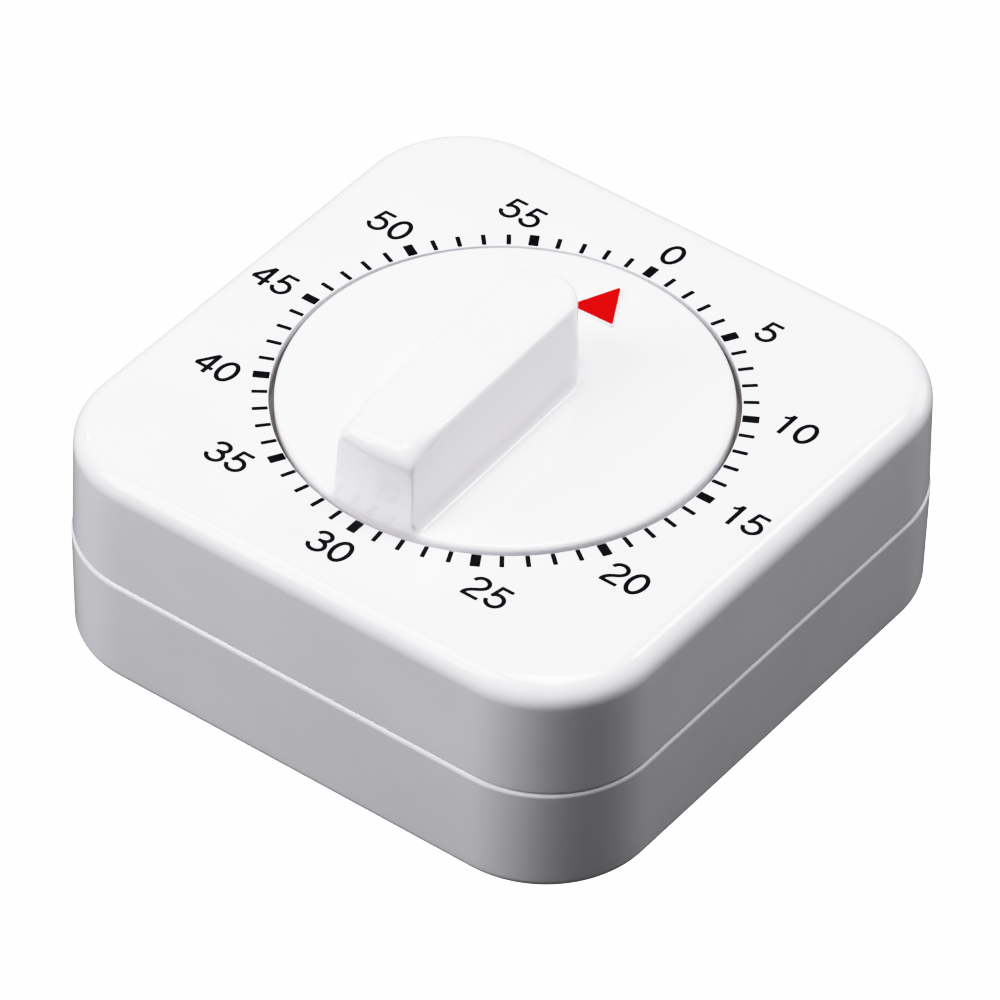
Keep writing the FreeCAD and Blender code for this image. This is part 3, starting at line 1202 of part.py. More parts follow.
def hammer_parts():
    tail_bottom = "Sizes.alarm_wheel_height"
    lower = "Sizes.hammer_arm_height"
    steps = [
        ("Sizes.stud_radius", lower, f"{BOTTOM_PLATE_TOP} + Sizes.end_shake"),
        ("Sizes.stud_collar_radius", f"{BOTTOM_PLATE_TOP} + Sizes.end_shake", tail_bottom),
        ("Sizes.stud_radius", tail_bottom, TOP_PLATE_TOP),
    ]
    node(turned("HammerArbor", steps, x=HAMMER[0], y=HAMMER[1]), "hammer_arbor")

    bore = round_face(size("stud_radius") + size("fit_gap"))
    hub = size("lever_hub_radius")
    end = size("lever_end_radius")
    tail_place = around(size("hammer_tail_length") - end, size("hammer_tail_angle"))
    tail = link_face(Vector(), hub, tail_place, end)
    thickness = "Sizes.lever_thickness"
    node(plate("HammerTail", tail.cut(bore), tail_bottom, thickness, *HAMMER), "hammer_tail")
    head_place = around(size("hammer_arm_length"), size("hammer_arm_angle"))
    arm = link_face(Vector(), hub, head_place, end)
    stem = round_face(size("hammer_stem_radius") + size("fit_gap"), head_place)
    node(plate("HammerLever", arm.cut(bore).cut(stem), lower, thickness, *HAMMER), "hammer_lever")
    steps = [
        ("Sizes.hammer_head_radius", "Sizes.hammer_head_bottom", lower),
        ("Sizes.hammer_stem_radius", lower, f"{lower} + {thickness}"),
    ]
    x, y = polar("Sizes.hammer_arm_length", "Sizes.hammer_arm_angle", *HAMMER)
    node(turned("HammerHead", steps, x=x, y=y), "hammer_head")


def hammer_spring():
    """Flat spring wrapped round the pillar below the tail, its free end behind the hammer tail."""
    pillar = around(size("pillar_ring_radius"), size("hammer_pillar_angle"))
    ring_inner = size("pillar_radius") + size("fit_gap")
    strip = size("hammer_spring_strip")
    wrap = ring_face(round_wire(ring_inner + strip), ring_inner)
    wrap.translate(pillar)
    hammer = Vector(number(HAMMER[0]), number(HAMMER[1]), 0)
    along = around(size("hammer_touch_distance"), size("hammer_tail_angle"))
    beside = around(size("hammer_touch_offset"), size("hammer_tail_angle") + 90)
    touch = hammer + along + beside
    reach = touch - pillar
    middle = ring_inner + strip / 2
    leave_angle = math.degrees(math.atan2(reach.y, reach.x) + math.acos(middle / reach.Length))
    half = size("hammer_blade_half_width")
    blade = link_face(pillar + around(middle, leave_angle), half, touch, half)
    bottom = "Sizes.alarm_wheel_height - Sizes.hammer_spring_height / 3"
    node(stamped("HammerSpring", [wrap, blade], [], bottom, "Sizes.hammer_spring_height"), "hammer_spring")


def release_parts():
    level = "Sizes.release_height"
    steps = [
        ("Sizes.stud_collar_radius", f"{level} - Sizes.release_collar_height", level),
        ("Sizes.stud_radius", level, TOP_PLATE_TOP),
    ]
    node(turned("ReleaseArbor", steps, x=RELEASE[0], y=RELEASE[1]), "release_arbor")
    place = Vector(number(RELEASE[0]), number(RELEASE[1]), 0)
    knee = around(size("release_knee_distance"), size("cam_notch_angle")) - place
    nose = around(size("release_nose_distance"), size("cam_notch_angle")) - place
    arm = link_face(Vector(), size("lever_hub_radius"), knee, size("release_knee_radius"))
    finger = link_face(knee, size("release_knee_radius"), nose, size("release_nose_radius"))
    tail_end = around(size("release_tail_length"), size("release_tail_angle"))
    tail = link_face(Vector(), size("lever_hub_radius"), tail_end, size("lever_end_radius"))
    hole = round_face(size("stud_radius") + size("fit_gap"))
    lever = stamped("ReleaseLever", [arm, finger, tail], [hole], level, "Sizes.lever_thickness", *RELEASE)
    node(lever, "release_lever")


# ---------------------------------------------------------------- build, check and write

upper_case()
lower_case()
case_screws()
plates()
pillars()
pillar_screws()
movement_screws()
main_bush()
spring_anchor()
bell()
bell_screw()
dial_knob()
main_arbor()
ratchet_wheel()
wheel_clip()
release_cam()
mainspring()
main_wheel()
going_train()
alarm_wheel()
click_parts()
pallet_parts()
hammer_parts()
hammer_spring()
release_parts()
doc.recompute()

for item in doc.Objects:
    if "Invalid" in item.State or "Error" in item.State:
        raise RuntimeError(f"{item.Name} ({item.Label}) failed: {item.State}")
for item in nodes:
    if item.Shape.isNull() or not item.Shape.isValid() or not item.Shape.Solids:
        raise RuntimeError(f"{item.Label} has no valid solid")

os.makedirs("parts", exist_ok=True)
for item in nodes:
    item.Shape.exportStep(f"parts/{item.Label}.step")
print(f"{len(nodes)} sub-parts written")
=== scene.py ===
"""Looks of the wind-up lab timer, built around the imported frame.

Lengths in this script are millimetres, turned into Blender's metres where meshes are made. The frame
gives the heights and outlines, and the dimensions below give the shapes between them.
"""

import itertools
import json
import math

import bmesh
import bpy
import numpy as np
from mathutils import Matrix, Vector

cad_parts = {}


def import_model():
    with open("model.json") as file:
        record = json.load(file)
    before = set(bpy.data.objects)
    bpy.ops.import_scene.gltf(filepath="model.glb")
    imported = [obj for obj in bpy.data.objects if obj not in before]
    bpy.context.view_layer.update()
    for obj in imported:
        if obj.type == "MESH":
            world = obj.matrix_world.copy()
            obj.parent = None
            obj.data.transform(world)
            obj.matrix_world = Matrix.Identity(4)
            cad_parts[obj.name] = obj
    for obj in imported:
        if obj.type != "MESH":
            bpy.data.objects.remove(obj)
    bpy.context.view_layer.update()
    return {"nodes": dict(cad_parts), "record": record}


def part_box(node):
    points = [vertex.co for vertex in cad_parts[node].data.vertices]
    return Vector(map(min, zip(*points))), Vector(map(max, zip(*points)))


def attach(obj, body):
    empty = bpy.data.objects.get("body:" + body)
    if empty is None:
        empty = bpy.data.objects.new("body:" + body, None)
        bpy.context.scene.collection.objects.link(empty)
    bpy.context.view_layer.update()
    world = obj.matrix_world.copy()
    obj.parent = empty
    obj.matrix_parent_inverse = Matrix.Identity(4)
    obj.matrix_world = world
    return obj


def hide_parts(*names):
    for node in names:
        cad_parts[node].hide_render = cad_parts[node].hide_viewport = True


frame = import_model()
MM = 0.001


def box_mm(node):
    low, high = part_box(node)
    return low / MM, high / MM


UPPER_LOW, UPPER_HIGH = box_mm("upper_case")
LOWER_HIGH = box_mm("lower_case")[1]
KNOB_LOW, KNOB_HIGH = box_mm("dial_knob")

# Case
PARTING = UPPER_LOW.z
FACE = UPPER_HIGH.z
CASE_HALF = UPPER_HIGH.x
RIM_HALF = LOWER_HIGH.x
CORNER = 12.4
UPPER_DRAFT = math.radians(1.2)
LOWER_DRAFT = math.radians(0.7)
WALL = 2.0
TOP_EDGE_ROUND = 2.8
BASE_EDGE_ROUND = 1.2
RIM_ROUND = 0.6
LIP_ROUND = 0.2
CEILING = FACE - WALL
RECESS_RADIUS = 24.1
RECESS_EDGE_ROUND = 0.1
RECESS_FLOOR = 24.0
RECESS_UNDERSIDE = 22.5
CUP_RADIUS = 25.6
HUB_BORE = 3.7
GROOVE_TOP = PARTING + 1.1
GROOVE_HALF = CASE_HALF - 0.9
TONGUE_TOP = LOWER_HIGH.z
TONGUE_OUTER = CASE_HALF - 1.0
TONGUE_INNER = CASE_HALF - 1.9
BOSS_SPOT = 24.5
BOSS_RADIUS = 3.2
SCREW_TIP_DEPTH = 22.4
SCREW_BORE = 1.12
WELL_RADIUS = 2.4
WELL_TOP = 6.0
SHANK_BORE = 1.3
BELL_BOSS_RADIUS = 4.0
BELL_BOSS_TOP = 3.4
BELL_SCREW_BORE = 1.22
BELL_BORE_BOTTOM = 1.4
BOSS_GAP = 0.1
MOUNT_RING = 21.6
MOUNT_ANGLES = (20, 225, 310)
MOUNT_RADIUS = 2.2
MOUNT_BOTTOM = 20.0
MOUNT_BORE = 0.92
MOUNT_BORE_TOP = 22.8
STOP_RING = 20.0
STOP_RADIUS = 0.65
STOP_POST_ANGLE = 185.9
STOP_POST_TOP = 25.4
# Heights between which the painted shade deep in the gap around the dial fades out.
GAP_SHADE_LEVELS = (25.5, 26.1)

# Dial knob
DIAL_RADIUS = 23.5
DIAL_BOTTOM = 24.6
DIAL_TOP = 27.25
DIAL_DRAFT = math.radians(2.0)
DIAL_ROUND = 0.6
REST_ANGLE = math.radians(2.0)
BAR_TOP = KNOB_HIGH.z
BAR_HALF = 4.45
BAR_FOOT_HALF = 5.05
BAR_FOOT_HEIGHT = 25.0
BAR_FAR_CENTRE = 4.65
BAR_SIDE_ROUND = 0.75
BAR_END_ROUND = 2.1
BAR_END_REACH = (-21.5, -17.5)
END_CORNER_ROUND = 0.17
END_TOP_ROUND = 1.8
END_FADES = (1.5, 3.0)
BAR_FOOT_ROUND = 1.0
BAR_WALL = 1.8
HOLLOW_TOP = BAR_TOP - BAR_WALL
HOLLOW_NEAR = -20.8
HUB_RADIUS = 3.2
HUB_BOTTOM = KNOB_LOW.z
SOCKET_RADIUS = 2.02
SOCKET_TOP = 32.0
SOCKET_FLAT = 1.42
SOCKET_KEY = (2.4, 1.5)
STOP_GROOVE_TOP = 25.6
STOP_GROOVE_RADII = (18.0, 22.0)
POINTER_TIP = 20.5
POINTER_BASE = 14.85
POINTER_HALF = 2.8
POINTER_ASIDE = 0.22
POINTER_HEIGHT = 0.45
POINTER_ROUND = 0.18
POINTER_CHAMFER = 0.05
POINTER_ROOT = 0.3
PAINT_INSETS = (0.06, 0.09)

# Printing on the face
INK_THICKNESS = 0.03
INK_SINK = 0.03
DIGIT_HEIGHT = 3.25
DIGIT_WIDTH = 2.2
DIGIT_PITCH = 2.55
STEM = 0.50
CURVE_STROKE = 0.47
BAR_STROKE = 0.43
STROKE_END_ROUND = 0.04
MINUTES = 60
MINOR_TICK = (24.2, 25.85, 0.5)
MAJOR_TICK = (24.2, 25.95, 1.06)
TICK_CORNER = 0.1
SCALE_TURN = math.radians(0.38)
LABEL_RING = (30.0, 28.8)
LABEL_CENTRE = (0.1, -0.1)
LABEL_STEP = (1.4, 0.4)

# Solids that are joined reach this far into each other, and cutting tools run this far past the surface.
OVERLAP = 0.1
CLEAR = 1.0
NET_STEP = 0.25

# Light. The tone curve is straight up to the knee and reaches to the white level.
TONE_KNEE = 0.5
TONE_WHITE = 3.0
BACKDROP = 2.9
ROOM_LIGHT = 0.08
FLOOR_HALF = 3.0
# Name, azimuth and elevation in degrees, distance and size in metres, power in watts.
LIGHTS = [
    ("key_above", 178, 86, 0.9, 0.5, 8.9),
    ("key_left", -40, 55, 1.0, 0.35, 3.3),
    ("fill_left", -42, 30, 0.8, 0.35, 3.25),
    ("fill_right", 160, 12, 1.0, 0.5, 2.4),
    ("glint_left", -95, 26, 1.0, 0.06, 0.5),
    ("glint_right", 151, 45, 1.0, 0.18, 1.7),
]


# ---------------------------------------------------------------- mesh helpers

def to_object(name, mesh_data):
    """Link a bmesh that is in millimetres as an object in metres, and free it."""
    mesh_data.transform(Matrix.Scale(MM, 4))
    mesh = bpy.data.meshes.new(name)
    mesh_data.to_mesh(mesh)
    mesh_data.free()
    item = bpy.data.objects.new(name, mesh)
    bpy.context.scene.collection.objects.link(item)
    return item


def rounded_square(half, corner, height):
    """Points round a centred square with round corners, anticlockwise from the middle of its +X side."""
    side_steps, corner_steps = 20, 24
    inner = half - corner
    quarter = [(half, inner * i / side_steps) for i in range(side_steps)]
    for i in range(corner_steps):
        angle = math.pi / 2 * i / corner_steps
        quarter.append((inner + corner * math.cos(angle), inner + corner * math.sin(angle)))
    quarter += [(inner * (1 - i / side_steps), half) for i in range(side_steps)]
    points = []
    for turn in range(4):
        swing = Matrix.Rotation(turn * math.pi / 2, 3, "Z")
        points += [swing @ Vector((x, y, height)) for x, y in quarter]
    return points


def circle_under(loop, radius, height):
    """A circle whose points lie on the same rays from the centre as the points of a loop."""
    return [Vector((p.x, p.y, 0)).normalized() * radius + Vector((0, 0, height)) for p in loop]


def between(start, end, steps):
    """The loops that lead from one loop to another in even steps, without the first."""
    return [[a.lerp(b, i / steps) for a, b in zip(start, end)] for i in range(1, steps + 1)]


def skin(name, loops, closed):
    """A mesh through loops of equally many points.

    Closed joins the last loop to the first, else both ends are capped.
    """
    data = bmesh.new()
    rings = [[data.verts.new(point) for point in loop] for loop in loops]
    pairs = list(zip(rings, rings[1:]))
    if closed:
        pairs.append((rings[-1], rings[0]))
    for lower, upper in pairs:
        for i in range(len(lower)):
            j = (i + 1) % len(lower)
            data.faces.new((lower[i], lower[j], upper[j], upper[i]))
    if not closed:
        data.faces.new(rings[0][::-1])
        data.faces.new(rings[-1])
    bmesh.ops.recalc_face_normals(data, faces=data.faces)
    return to_object(name, data)


def prism(outline, bottom, top, name="tool"):
    """A straight solid on an outline of (x, y) points."""
    loops = [[Vector((x, y, z)) for x, y in outline] for z in (bottom, top)]
    return skin(name, loops, closed=False)


def rod(radius, bottom, top, place=(0, 0)):
    """A round bar, used as a tool for holes, bosses and posts."""
    steps = 96
    turns = [2 * math.pi * i / steps for i in range(steps)]
    outline = [(place[0] + radius * math.cos(a), place[1] + radius * math.sin(a)) for a in turns]
    return prism(outline, bottom, top)


def combine(item, operation, tools):
    """Join or cut an object with each tool in turn, and drop the tools."""
    for tool in tools:
        modifier = item.modifiers.new("Combine", "BOOLEAN")
        modifier.operation = operation
        modifier.solver = "MANIFOLD"
        modifier.object = tool
        graph = bpy.context.evaluated_depsgraph_get()
        mesh = bpy.data.meshes.new_from_object(item.evaluated_get(graph))
        item.modifiers.clear()
        spent = item.data
        item.data = mesh
        bpy.data.meshes.remove(spent)
        bpy.data.objects.remove(tool)
    return item


def polar(radius, degrees):
    return radius * math.cos(math.radians(degrees)), radius * math.sin(math.radians(degrees))


CORNER_SPOTS = [(i * BOSS_SPOT, j * BOSS_SPOT) for i in (-1, 1) for j in (-1, 1)]
MOUNT_SPOTS = [polar(MOUNT_RING, angle) for angle in MOUNT_ANGLES]


def smooth(item, sharp_above=30):
    """Smooth shading between edges, with large flat faces kept flat beside their rounded edges."""
    item.data.shade_smooth()
    item.data.set_sharp_from_angle(angle=math.radians(sharp_above))
    modifier = item.modifiers.new("Weighted normals", "WEIGHTED_NORMAL")
    modifier.keep_sharp = True
    modifier.weight = 100


# ---------------------------------------------------------------- case

def edge_round(radius, draft, wall_offset, limit, flip):
    """Offsets and heights of the arc from a drafted wall to a level face."""
    steps = 12
    centre_height = limit - flip * radius
    centre_offset = wall_offset(centre_height) - radius / math.cos(draft)
    start = draft if flip > 0 else -draft
    spots = []
    for i in range(steps + 1):
        angle = start + (math.pi / 2 - start) * i / steps
        offset = centre_offset + radius * math.cos(angle)
        spots.append((offset, centre_height + flip * radius * math.sin(angle)))
    return spots


def upper_shell():
    """Upper case half: drafted walls, round top edge, face, recess for the dial and the posts inside."""
    def square(offset, height):
        return rounded_square(CASE_HALF + offset, CORNER + offset, height)

    def wall_offset(height):
        return -math.tan(UPPER_DRAFT) * (height - PARTING)

    top_arc = edge_round(TOP_EDGE_ROUND, UPPER_DRAFT, wall_offset, FACE, 1)
    arc_steps = 4
    loops = [square(-LIP_ROUND, PARTING)]
    for i in range(1, arc_steps + 1):
        angle = math.pi / 2 * i / arc_steps
        offset = LIP_ROUND * (math.sin(angle) - 1)
        loops.append(square(offset, PARTING + LIP_ROUND * (1 - math.cos(angle))))
    loops += between(loops[-1], square(*top_arc[0]), 6)
    loops += [square(*spot) for spot in top_arc[1:]]
    rim = RECESS_RADIUS + RECESS_EDGE_ROUND
    loops += between(loops[-1], circle_under(loops[-1], rim, FACE), 8)
    for i in range(1, arc_steps + 1):
        angle = math.pi / 2 * i / arc_steps
        radius = rim - RECESS_EDGE_ROUND * math.sin(angle)
        height = FACE - RECESS_EDGE_ROUND * (1 - math.cos(angle))
        loops.append(circle_under(loops[0], radius, height))
    for radius, height, steps in [
        (RECESS_RADIUS, RECESS_FLOOR, 3),
        (HUB_BORE, RECESS_FLOOR, 6),
        (HUB_BORE, RECESS_UNDERSIDE, 2),
        (CUP_RADIUS, RECESS_UNDERSIDE, 6),
        (CUP_RADIUS, CEILING, 2),
    ]:
        loops += between(loops[-1], circle_under(loops[0], radius, height), steps)
    groove_offset = GROOVE_HALF - CASE_HALF
    for offset, height, steps in [
        (-WALL, CEILING, 4),
        (-WALL, GROOVE_TOP, 6),
        (groove_offset, GROOVE_TOP, 1),
        (groove_offset, PARTING, 1),
    ]:
        loops += between(loops[-1], square(offset, height), steps)
    shell = skin("upper_shell", loops, closed=True)
    posts = [rod(BOSS_RADIUS, PARTING + BOSS_GAP, CEILING + OVERLAP, spot) for spot in CORNER_SPOTS]
    posts += [rod(MOUNT_RADIUS, MOUNT_BOTTOM, RECESS_UNDERSIDE + OVERLAP, spot) for spot in MOUNT_SPOTS]
    stop_spot = polar(STOP_RING, STOP_POST_ANGLE)
    posts.append(rod(STOP_RADIUS, RECESS_FLOOR - OVERLAP, STOP_POST_TOP, stop_spot))
    bores = [rod(SCREW_BORE, PARTING, SCREW_TIP_DEPTH, spot) for spot in CORNER_SPOTS]
    bores += [rod(MOUNT_BORE, MOUNT_BOTTOM - CLEAR, MOUNT_BORE_TOP, spot) for spot in MOUNT_SPOTS]
    combine(shell, "UNION", posts)
    combine(shell, "DIFFERENCE", bores)
    return shell


def lower_shell():
    """Lower case half: drafted walls, proud at the parting line, with tongue, bosses and screw wells."""
    rim_corner = CORNER + RIM_HALF - CASE_HALF

    def square(half, height):
        return rounded_square(half, rim_corner + half - RIM_HALF, height)

    def wall_offset(height):
        return -math.tan(LOWER_DRAFT) * (PARTING - height)

    rim_arc = edge_round(RIM_ROUND, LOWER_DRAFT, wall_offset, PARTING, 1)
    base_arc = edge_round(BASE_EDGE_ROUND, LOWER_DRAFT, wall_offset, 0.0, -1)
    loops = [square(RIM_HALF + offset, height) for offset, height in base_arc[::-1]]
    loops += between(loops[-1], square(RIM_HALF + rim_arc[0][0], rim_arc[0][1]), 6)
    loops += [square(RIM_HALF + offset, height) for offset, height in rim_arc[1:]]
    inside = CASE_HALF - WALL
    for half, height, steps in [
        (TONGUE_OUTER, PARTING, 1),
        (TONGUE_OUTER, TONGUE_TOP, 1),
        (TONGUE_INNER, TONGUE_TOP, 1),
        (TONGUE_INNER, PARTING, 1),
        (inside, PARTING, 1),
        (inside, WALL, 6),
    ]:
        loops += between(loops[-1], square(half, height), steps)
    for radius, height, steps in [
        (BELL_BOSS_RADIUS, WALL, 8),
        (BELL_BOSS_RADIUS, BELL_BOSS_TOP, 1),
        (BELL_SCREW_BORE, BELL_BOSS_TOP, 1),
        (BELL_SCREW_BORE, BELL_BORE_BOTTOM, 1),
    ]:
        loops += between(loops[-1], circle_under(loops[0], radius, height), steps)
    middle = circle_under(loops[0], BELL_BOSS_RADIUS, 0)
    loops = [middle] + between(middle, loops[0], 8)[:-1] + loops
    shell = skin("lower_shell", loops, closed=False)
    combine(shell, "UNION", [rod(BOSS_RADIUS, WALL / 2, PARTING, spot) for spot in CORNER_SPOTS])
    combine(shell, "DIFFERENCE", [rod(WELL_RADIUS, -CLEAR, WELL_TOP, spot) for spot in CORNER_SPOTS])
    combine(shell, "DIFFERENCE", [rod(SHANK_BORE, WELL_TOP - CLEAR, FACE, spot) for spot in CORNER_SPOTS])
    return shell


# ---------------------------------------------------------------- dial knob

def meet_round(a, b, radius):
    """Distance field of the part inside both fields, with its edge rounded."""
    corner = np.hypot(np.maximum(a + radius, 0), np.maximum(b + radius, 0))
    return np.minimum(-radius, np.maximum(a, b)) + corner


def join_round(a, b, radius):
    """Distance field of the part inside either field, with a fillet between them."""
    corner = np.hypot(np.maximum(radius - a, 0), np.maximum(radius - b, 0))
    return np.maximum(radius, np.minimum(a, b)) - corner


def eased(value, low, high):
    """0 below low, 1 above high and a smooth rise between them."""
    share = np.clip((value - low) / (high - low), 0, 1)
    return share * share * (3 - 2 * share)


def knob_field(x, y, z):
    """Distance to the knob's outside: a bar with a round far end on a disc, both inside one drafted edge.

    The near end's corners are sharper up the end than at the disc, and draw in again near the top.
    """
    lean = (BAR_FOOT_HALF - BAR_HALF) / (BAR_TOP - BAR_FOOT_HEIGHT)
    half = BAR_FOOT_HALF - lean * (z - BAR_FOOT_HEIGHT)
    sides = (np.hypot(x, np.maximum(y - BAR_FAR_CENTRE, 0)) - half) / math.hypot(1, lean)
    across = np.hypot(x, y) - DIAL_RADIUS
    turned = (across + (z - DIAL_TOP) * math.tan(DIAL_DRAFT)) * math.cos(DIAL_DRAFT)
    footed = join_round(sides, z - DIAL_TOP, BAR_FOOT_ROUND)
    corner = DIAL_ROUND + (END_CORNER_ROUND - DIAL_ROUND) * eased(z, DIAL_TOP, DIAL_TOP + END_FADES[0])
    corner += (END_TOP_ROUND - END_CORNER_ROUND) * eased(z, BAR_TOP - END_FADES[1], BAR_TOP)
    trimmed = meet_round(footed, turned, corner)
    top_round = BAR_END_ROUND + (BAR_SIDE_ROUND - BAR_END_ROUND) * eased(y, *BAR_END_REACH)
    return meet_round(trimmed, z - BAR_TOP, top_round)


def net_over(name, field, low, high, step):
    """A closed quad mesh on a field's zero surface, with one vertex in each grid cell that it crosses."""
    axes = [np.arange(start, end + step, step) for start, end in zip(low, high)]
    inside = field(*np.meshgrid(*axes, indexing="ij")) < 0
    cells = np.array(inside.shape) - 1
    filled = np.zeros(cells, int)
    for shift in itertools.product((0, 1), repeat=3):
        window = tuple(slice(s, s + n) for s, n in zip(shift, cells))
        filled += inside[window]
    crossed = (filled > 0) & (filled < 8)
    number = np.full(cells, -1)
    number[crossed] = np.arange(crossed.sum())
    points = np.array(low) + (np.argwhere(crossed) + 0.5) * step
    nudge = 1e-4
    flattest = 1e-6
    passes = 12
    for _ in range(passes):
        value = field(*points.T)
        slope = np.stack([
            (field(*(points + offset).T) - field(*(points - offset).T)) / (2 * nudge)
            for offset in np.eye(3) * nudge
        ], axis=1)
        points -= slope * (value / np.maximum((slope ** 2).sum(axis=1), flattest))[:, None]
    faces = []
    for axis in range(3):
        skipped = [0 if a == axis else 1 for a in range(3)]
        window = tuple(slice(start, end) for start, end in zip(skipped, cells))
        changed = inside != np.roll(inside, -1, axis=axis)
        changes = np.argwhere(changed[window]) + np.array(skipped)
        u, v = [a for a in range(3) if a != axis]
        step_u, step_v = np.eye(3, dtype=int)[u], np.eye(3, dtype=int)[v]
        ring = [changes - step_u - step_v, changes - step_v, changes, changes - step_u]
        faces.append(np.stack([number[tuple(spot.T)] for spot in ring], axis=1))
    data = bmesh.new()
    verts = [data.verts.new(point) for point in points]
    for quad in np.concatenate(faces):
        data.faces.new([verts[i] for i in quad])
    bmesh.ops.recalc_face_normals(data, faces=data.faces)
    return to_object(name, data)


def rounded_triangle(inset, height):
    """The pointer's outline with round corners, moved inwards by the inset."""
    corners = [
        Vector((POINTER_ASIDE + x, y))
        for x, y in ((-POINTER_HALF, POINTER_BASE), (POINTER_HALF, POINTER_BASE), (0, POINTER_TIP))
    ]
    loop = []
    steps = 8
    for i, corner in enumerate(corners):
        before = (corners[i - 1] - corner).normalized()
        after = (corners[(i + 1) % 3] - corner).normalized()
        half_angle = before.angle(after) / 2
        inward = (before + after).normalized()
        centre = corner + inward * ((POINTER_ROUND + inset) / math.sin(half_angle))
        sweep = math.pi - 2 * half_angle
        middle = math.atan2(-inward.y, -inward.x)
        for k in range(steps + 1):
            angle = middle + sweep * (k / steps - 0.5)
            x = centre.x + POINTER_ROUND * math.cos(angle)
            y = centre.y + POINTER_ROUND * math.sin(angle)
            loop.append(Vector((x, y, height)))
    return loop


def knob():
    """Dial disc, grip bar and raised pointer in one moulding, hollow underneath."""
    reach = DIAL_RADIUS + CLEAR
    skirt = 0.7

    def moulding(x, y, z):
        return np.maximum(knob_field(x, y, z), DIAL_BOTTOM - skirt - z)

    low = (-reach, -reach, DIAL_BOTTOM - 1.5 * CLEAR)
    high = (reach, reach, BAR_TOP + CLEAR / 2)
    blank = net_over("dial_knob_moulding", moulding, low, high, NET_STEP)
    combine(blank, "DIFFERENCE", [rod(reach + 5 * CLEAR, DIAL_BOTTOM - 5 * CLEAR, DIAL_BOTTOM)])
    top = DIAL_TOP + POINTER_HEIGHT
    halfway = 0.3 * POINTER_CHAMFER
    pointer = skin("tool", [
        rounded_triangle(0, DIAL_TOP - POINTER_ROOT),
        rounded_triangle(0, top - POINTER_CHAMFER),
        rounded_triangle(halfway, top - halfway),
        rounded_triangle(POINTER_CHAMFER, top),
    ], closed=False)
    hollow_half = BAR_HALF - BAR_WALL
    hollow = prism([
        (-hollow_half, HOLLOW_NEAR), (hollow_half, HOLLOW_NEAR),
        (hollow_half, BAR_FAR_CENTRE), (-hollow_half, BAR_FAR_CENTRE),
    ], DIAL_BOTTOM - CLEAR, HOLLOW_TOP)
    groove = rod(STOP_GROOVE_RADII[1], DIAL_BOTTOM - CLEAR, STOP_GROOVE_TOP)
    island = rod(STOP_GROOVE_RADII[0], DIAL_BOTTOM - 2 * CLEAR, STOP_GROOVE_TOP + CLEAR)
    combine(groove, "DIFFERENCE", [island])
    stop = rod(STOP_RADIUS, DIAL_BOTTOM, DIAL_TOP - CLEAR / 2, (-STOP_RING, 0))
    hub = rod(HUB_RADIUS, HUB_BOTTOM, HOLLOW_TOP + OVERLAP)
    socket = rod(SOCKET_RADIUS, HUB_BOTTOM - CLEAR, SOCKET_TOP)
    key_reach, key_half = SOCKET_KEY
    key = prism([
        (SOCKET_FLAT, -key_half), (key_reach, -key_half), (key_reach, key_half), (SOCKET_FLAT, key_half),
    ], HUB_BOTTOM, SOCKET_TOP + OVERLAP)
    combine(blank, "UNION", [pointer])
    combine(blank, "DIFFERENCE", [hollow, groove])
    combine(blank, "UNION", [stop, hub])
    combine(blank, "DIFFERENCE", [socket])
    combine(blank, "UNION", [key])
    blank.data.transform(Matrix.Rotation(REST_ANGLE, 4, "Z"))
    return blank


def pointer_paint():
    """The red paint on the pointer's top."""
    top = DIAL_TOP + POINTER_HEIGHT
    side, face = PAINT_INSETS
    paint = skin("pointer_paint", [
        rounded_triangle(side, top - INK_SINK),
        rounded_triangle(side, top + INK_THICKNESS / 2),
        rounded_triangle(face, top + INK_THICKNESS),
    ], closed=False)
    paint.data.transform(Matrix.Rotation(REST_ANGLE, 4, "Z"))
    return paint


# ---------------------------------------------------------------- printed scale

def arc(centre, radii, start, end, steps=28):
    """Points along an elliptic arc, angles in degrees."""
    points = []
    for i in range(steps + 1):
        angle = math.radians(start + (end - start) * i / steps)
        x = centre[0] + radii[0] * math.cos(angle)
        points.append(Vector((x, centre[1] + radii[1] * math.sin(angle))))
    return points


def bezier(a, b, c, d, steps=24):
    """Points along a cubic curve with two end points and two handles."""
    a, b, c, d = Vector(a), Vector(b), Vector(c), Vector(d)
    points = []
    for i in range(steps + 1):
        t = i / steps
        points.append(a * (1 - t) ** 3 + b * 3 * t * (1 - t) ** 2 + c * 3 * t * t * (1 - t) + d * t ** 3)
    return points


def line(*points):
    return [Vector(point) for point in points]


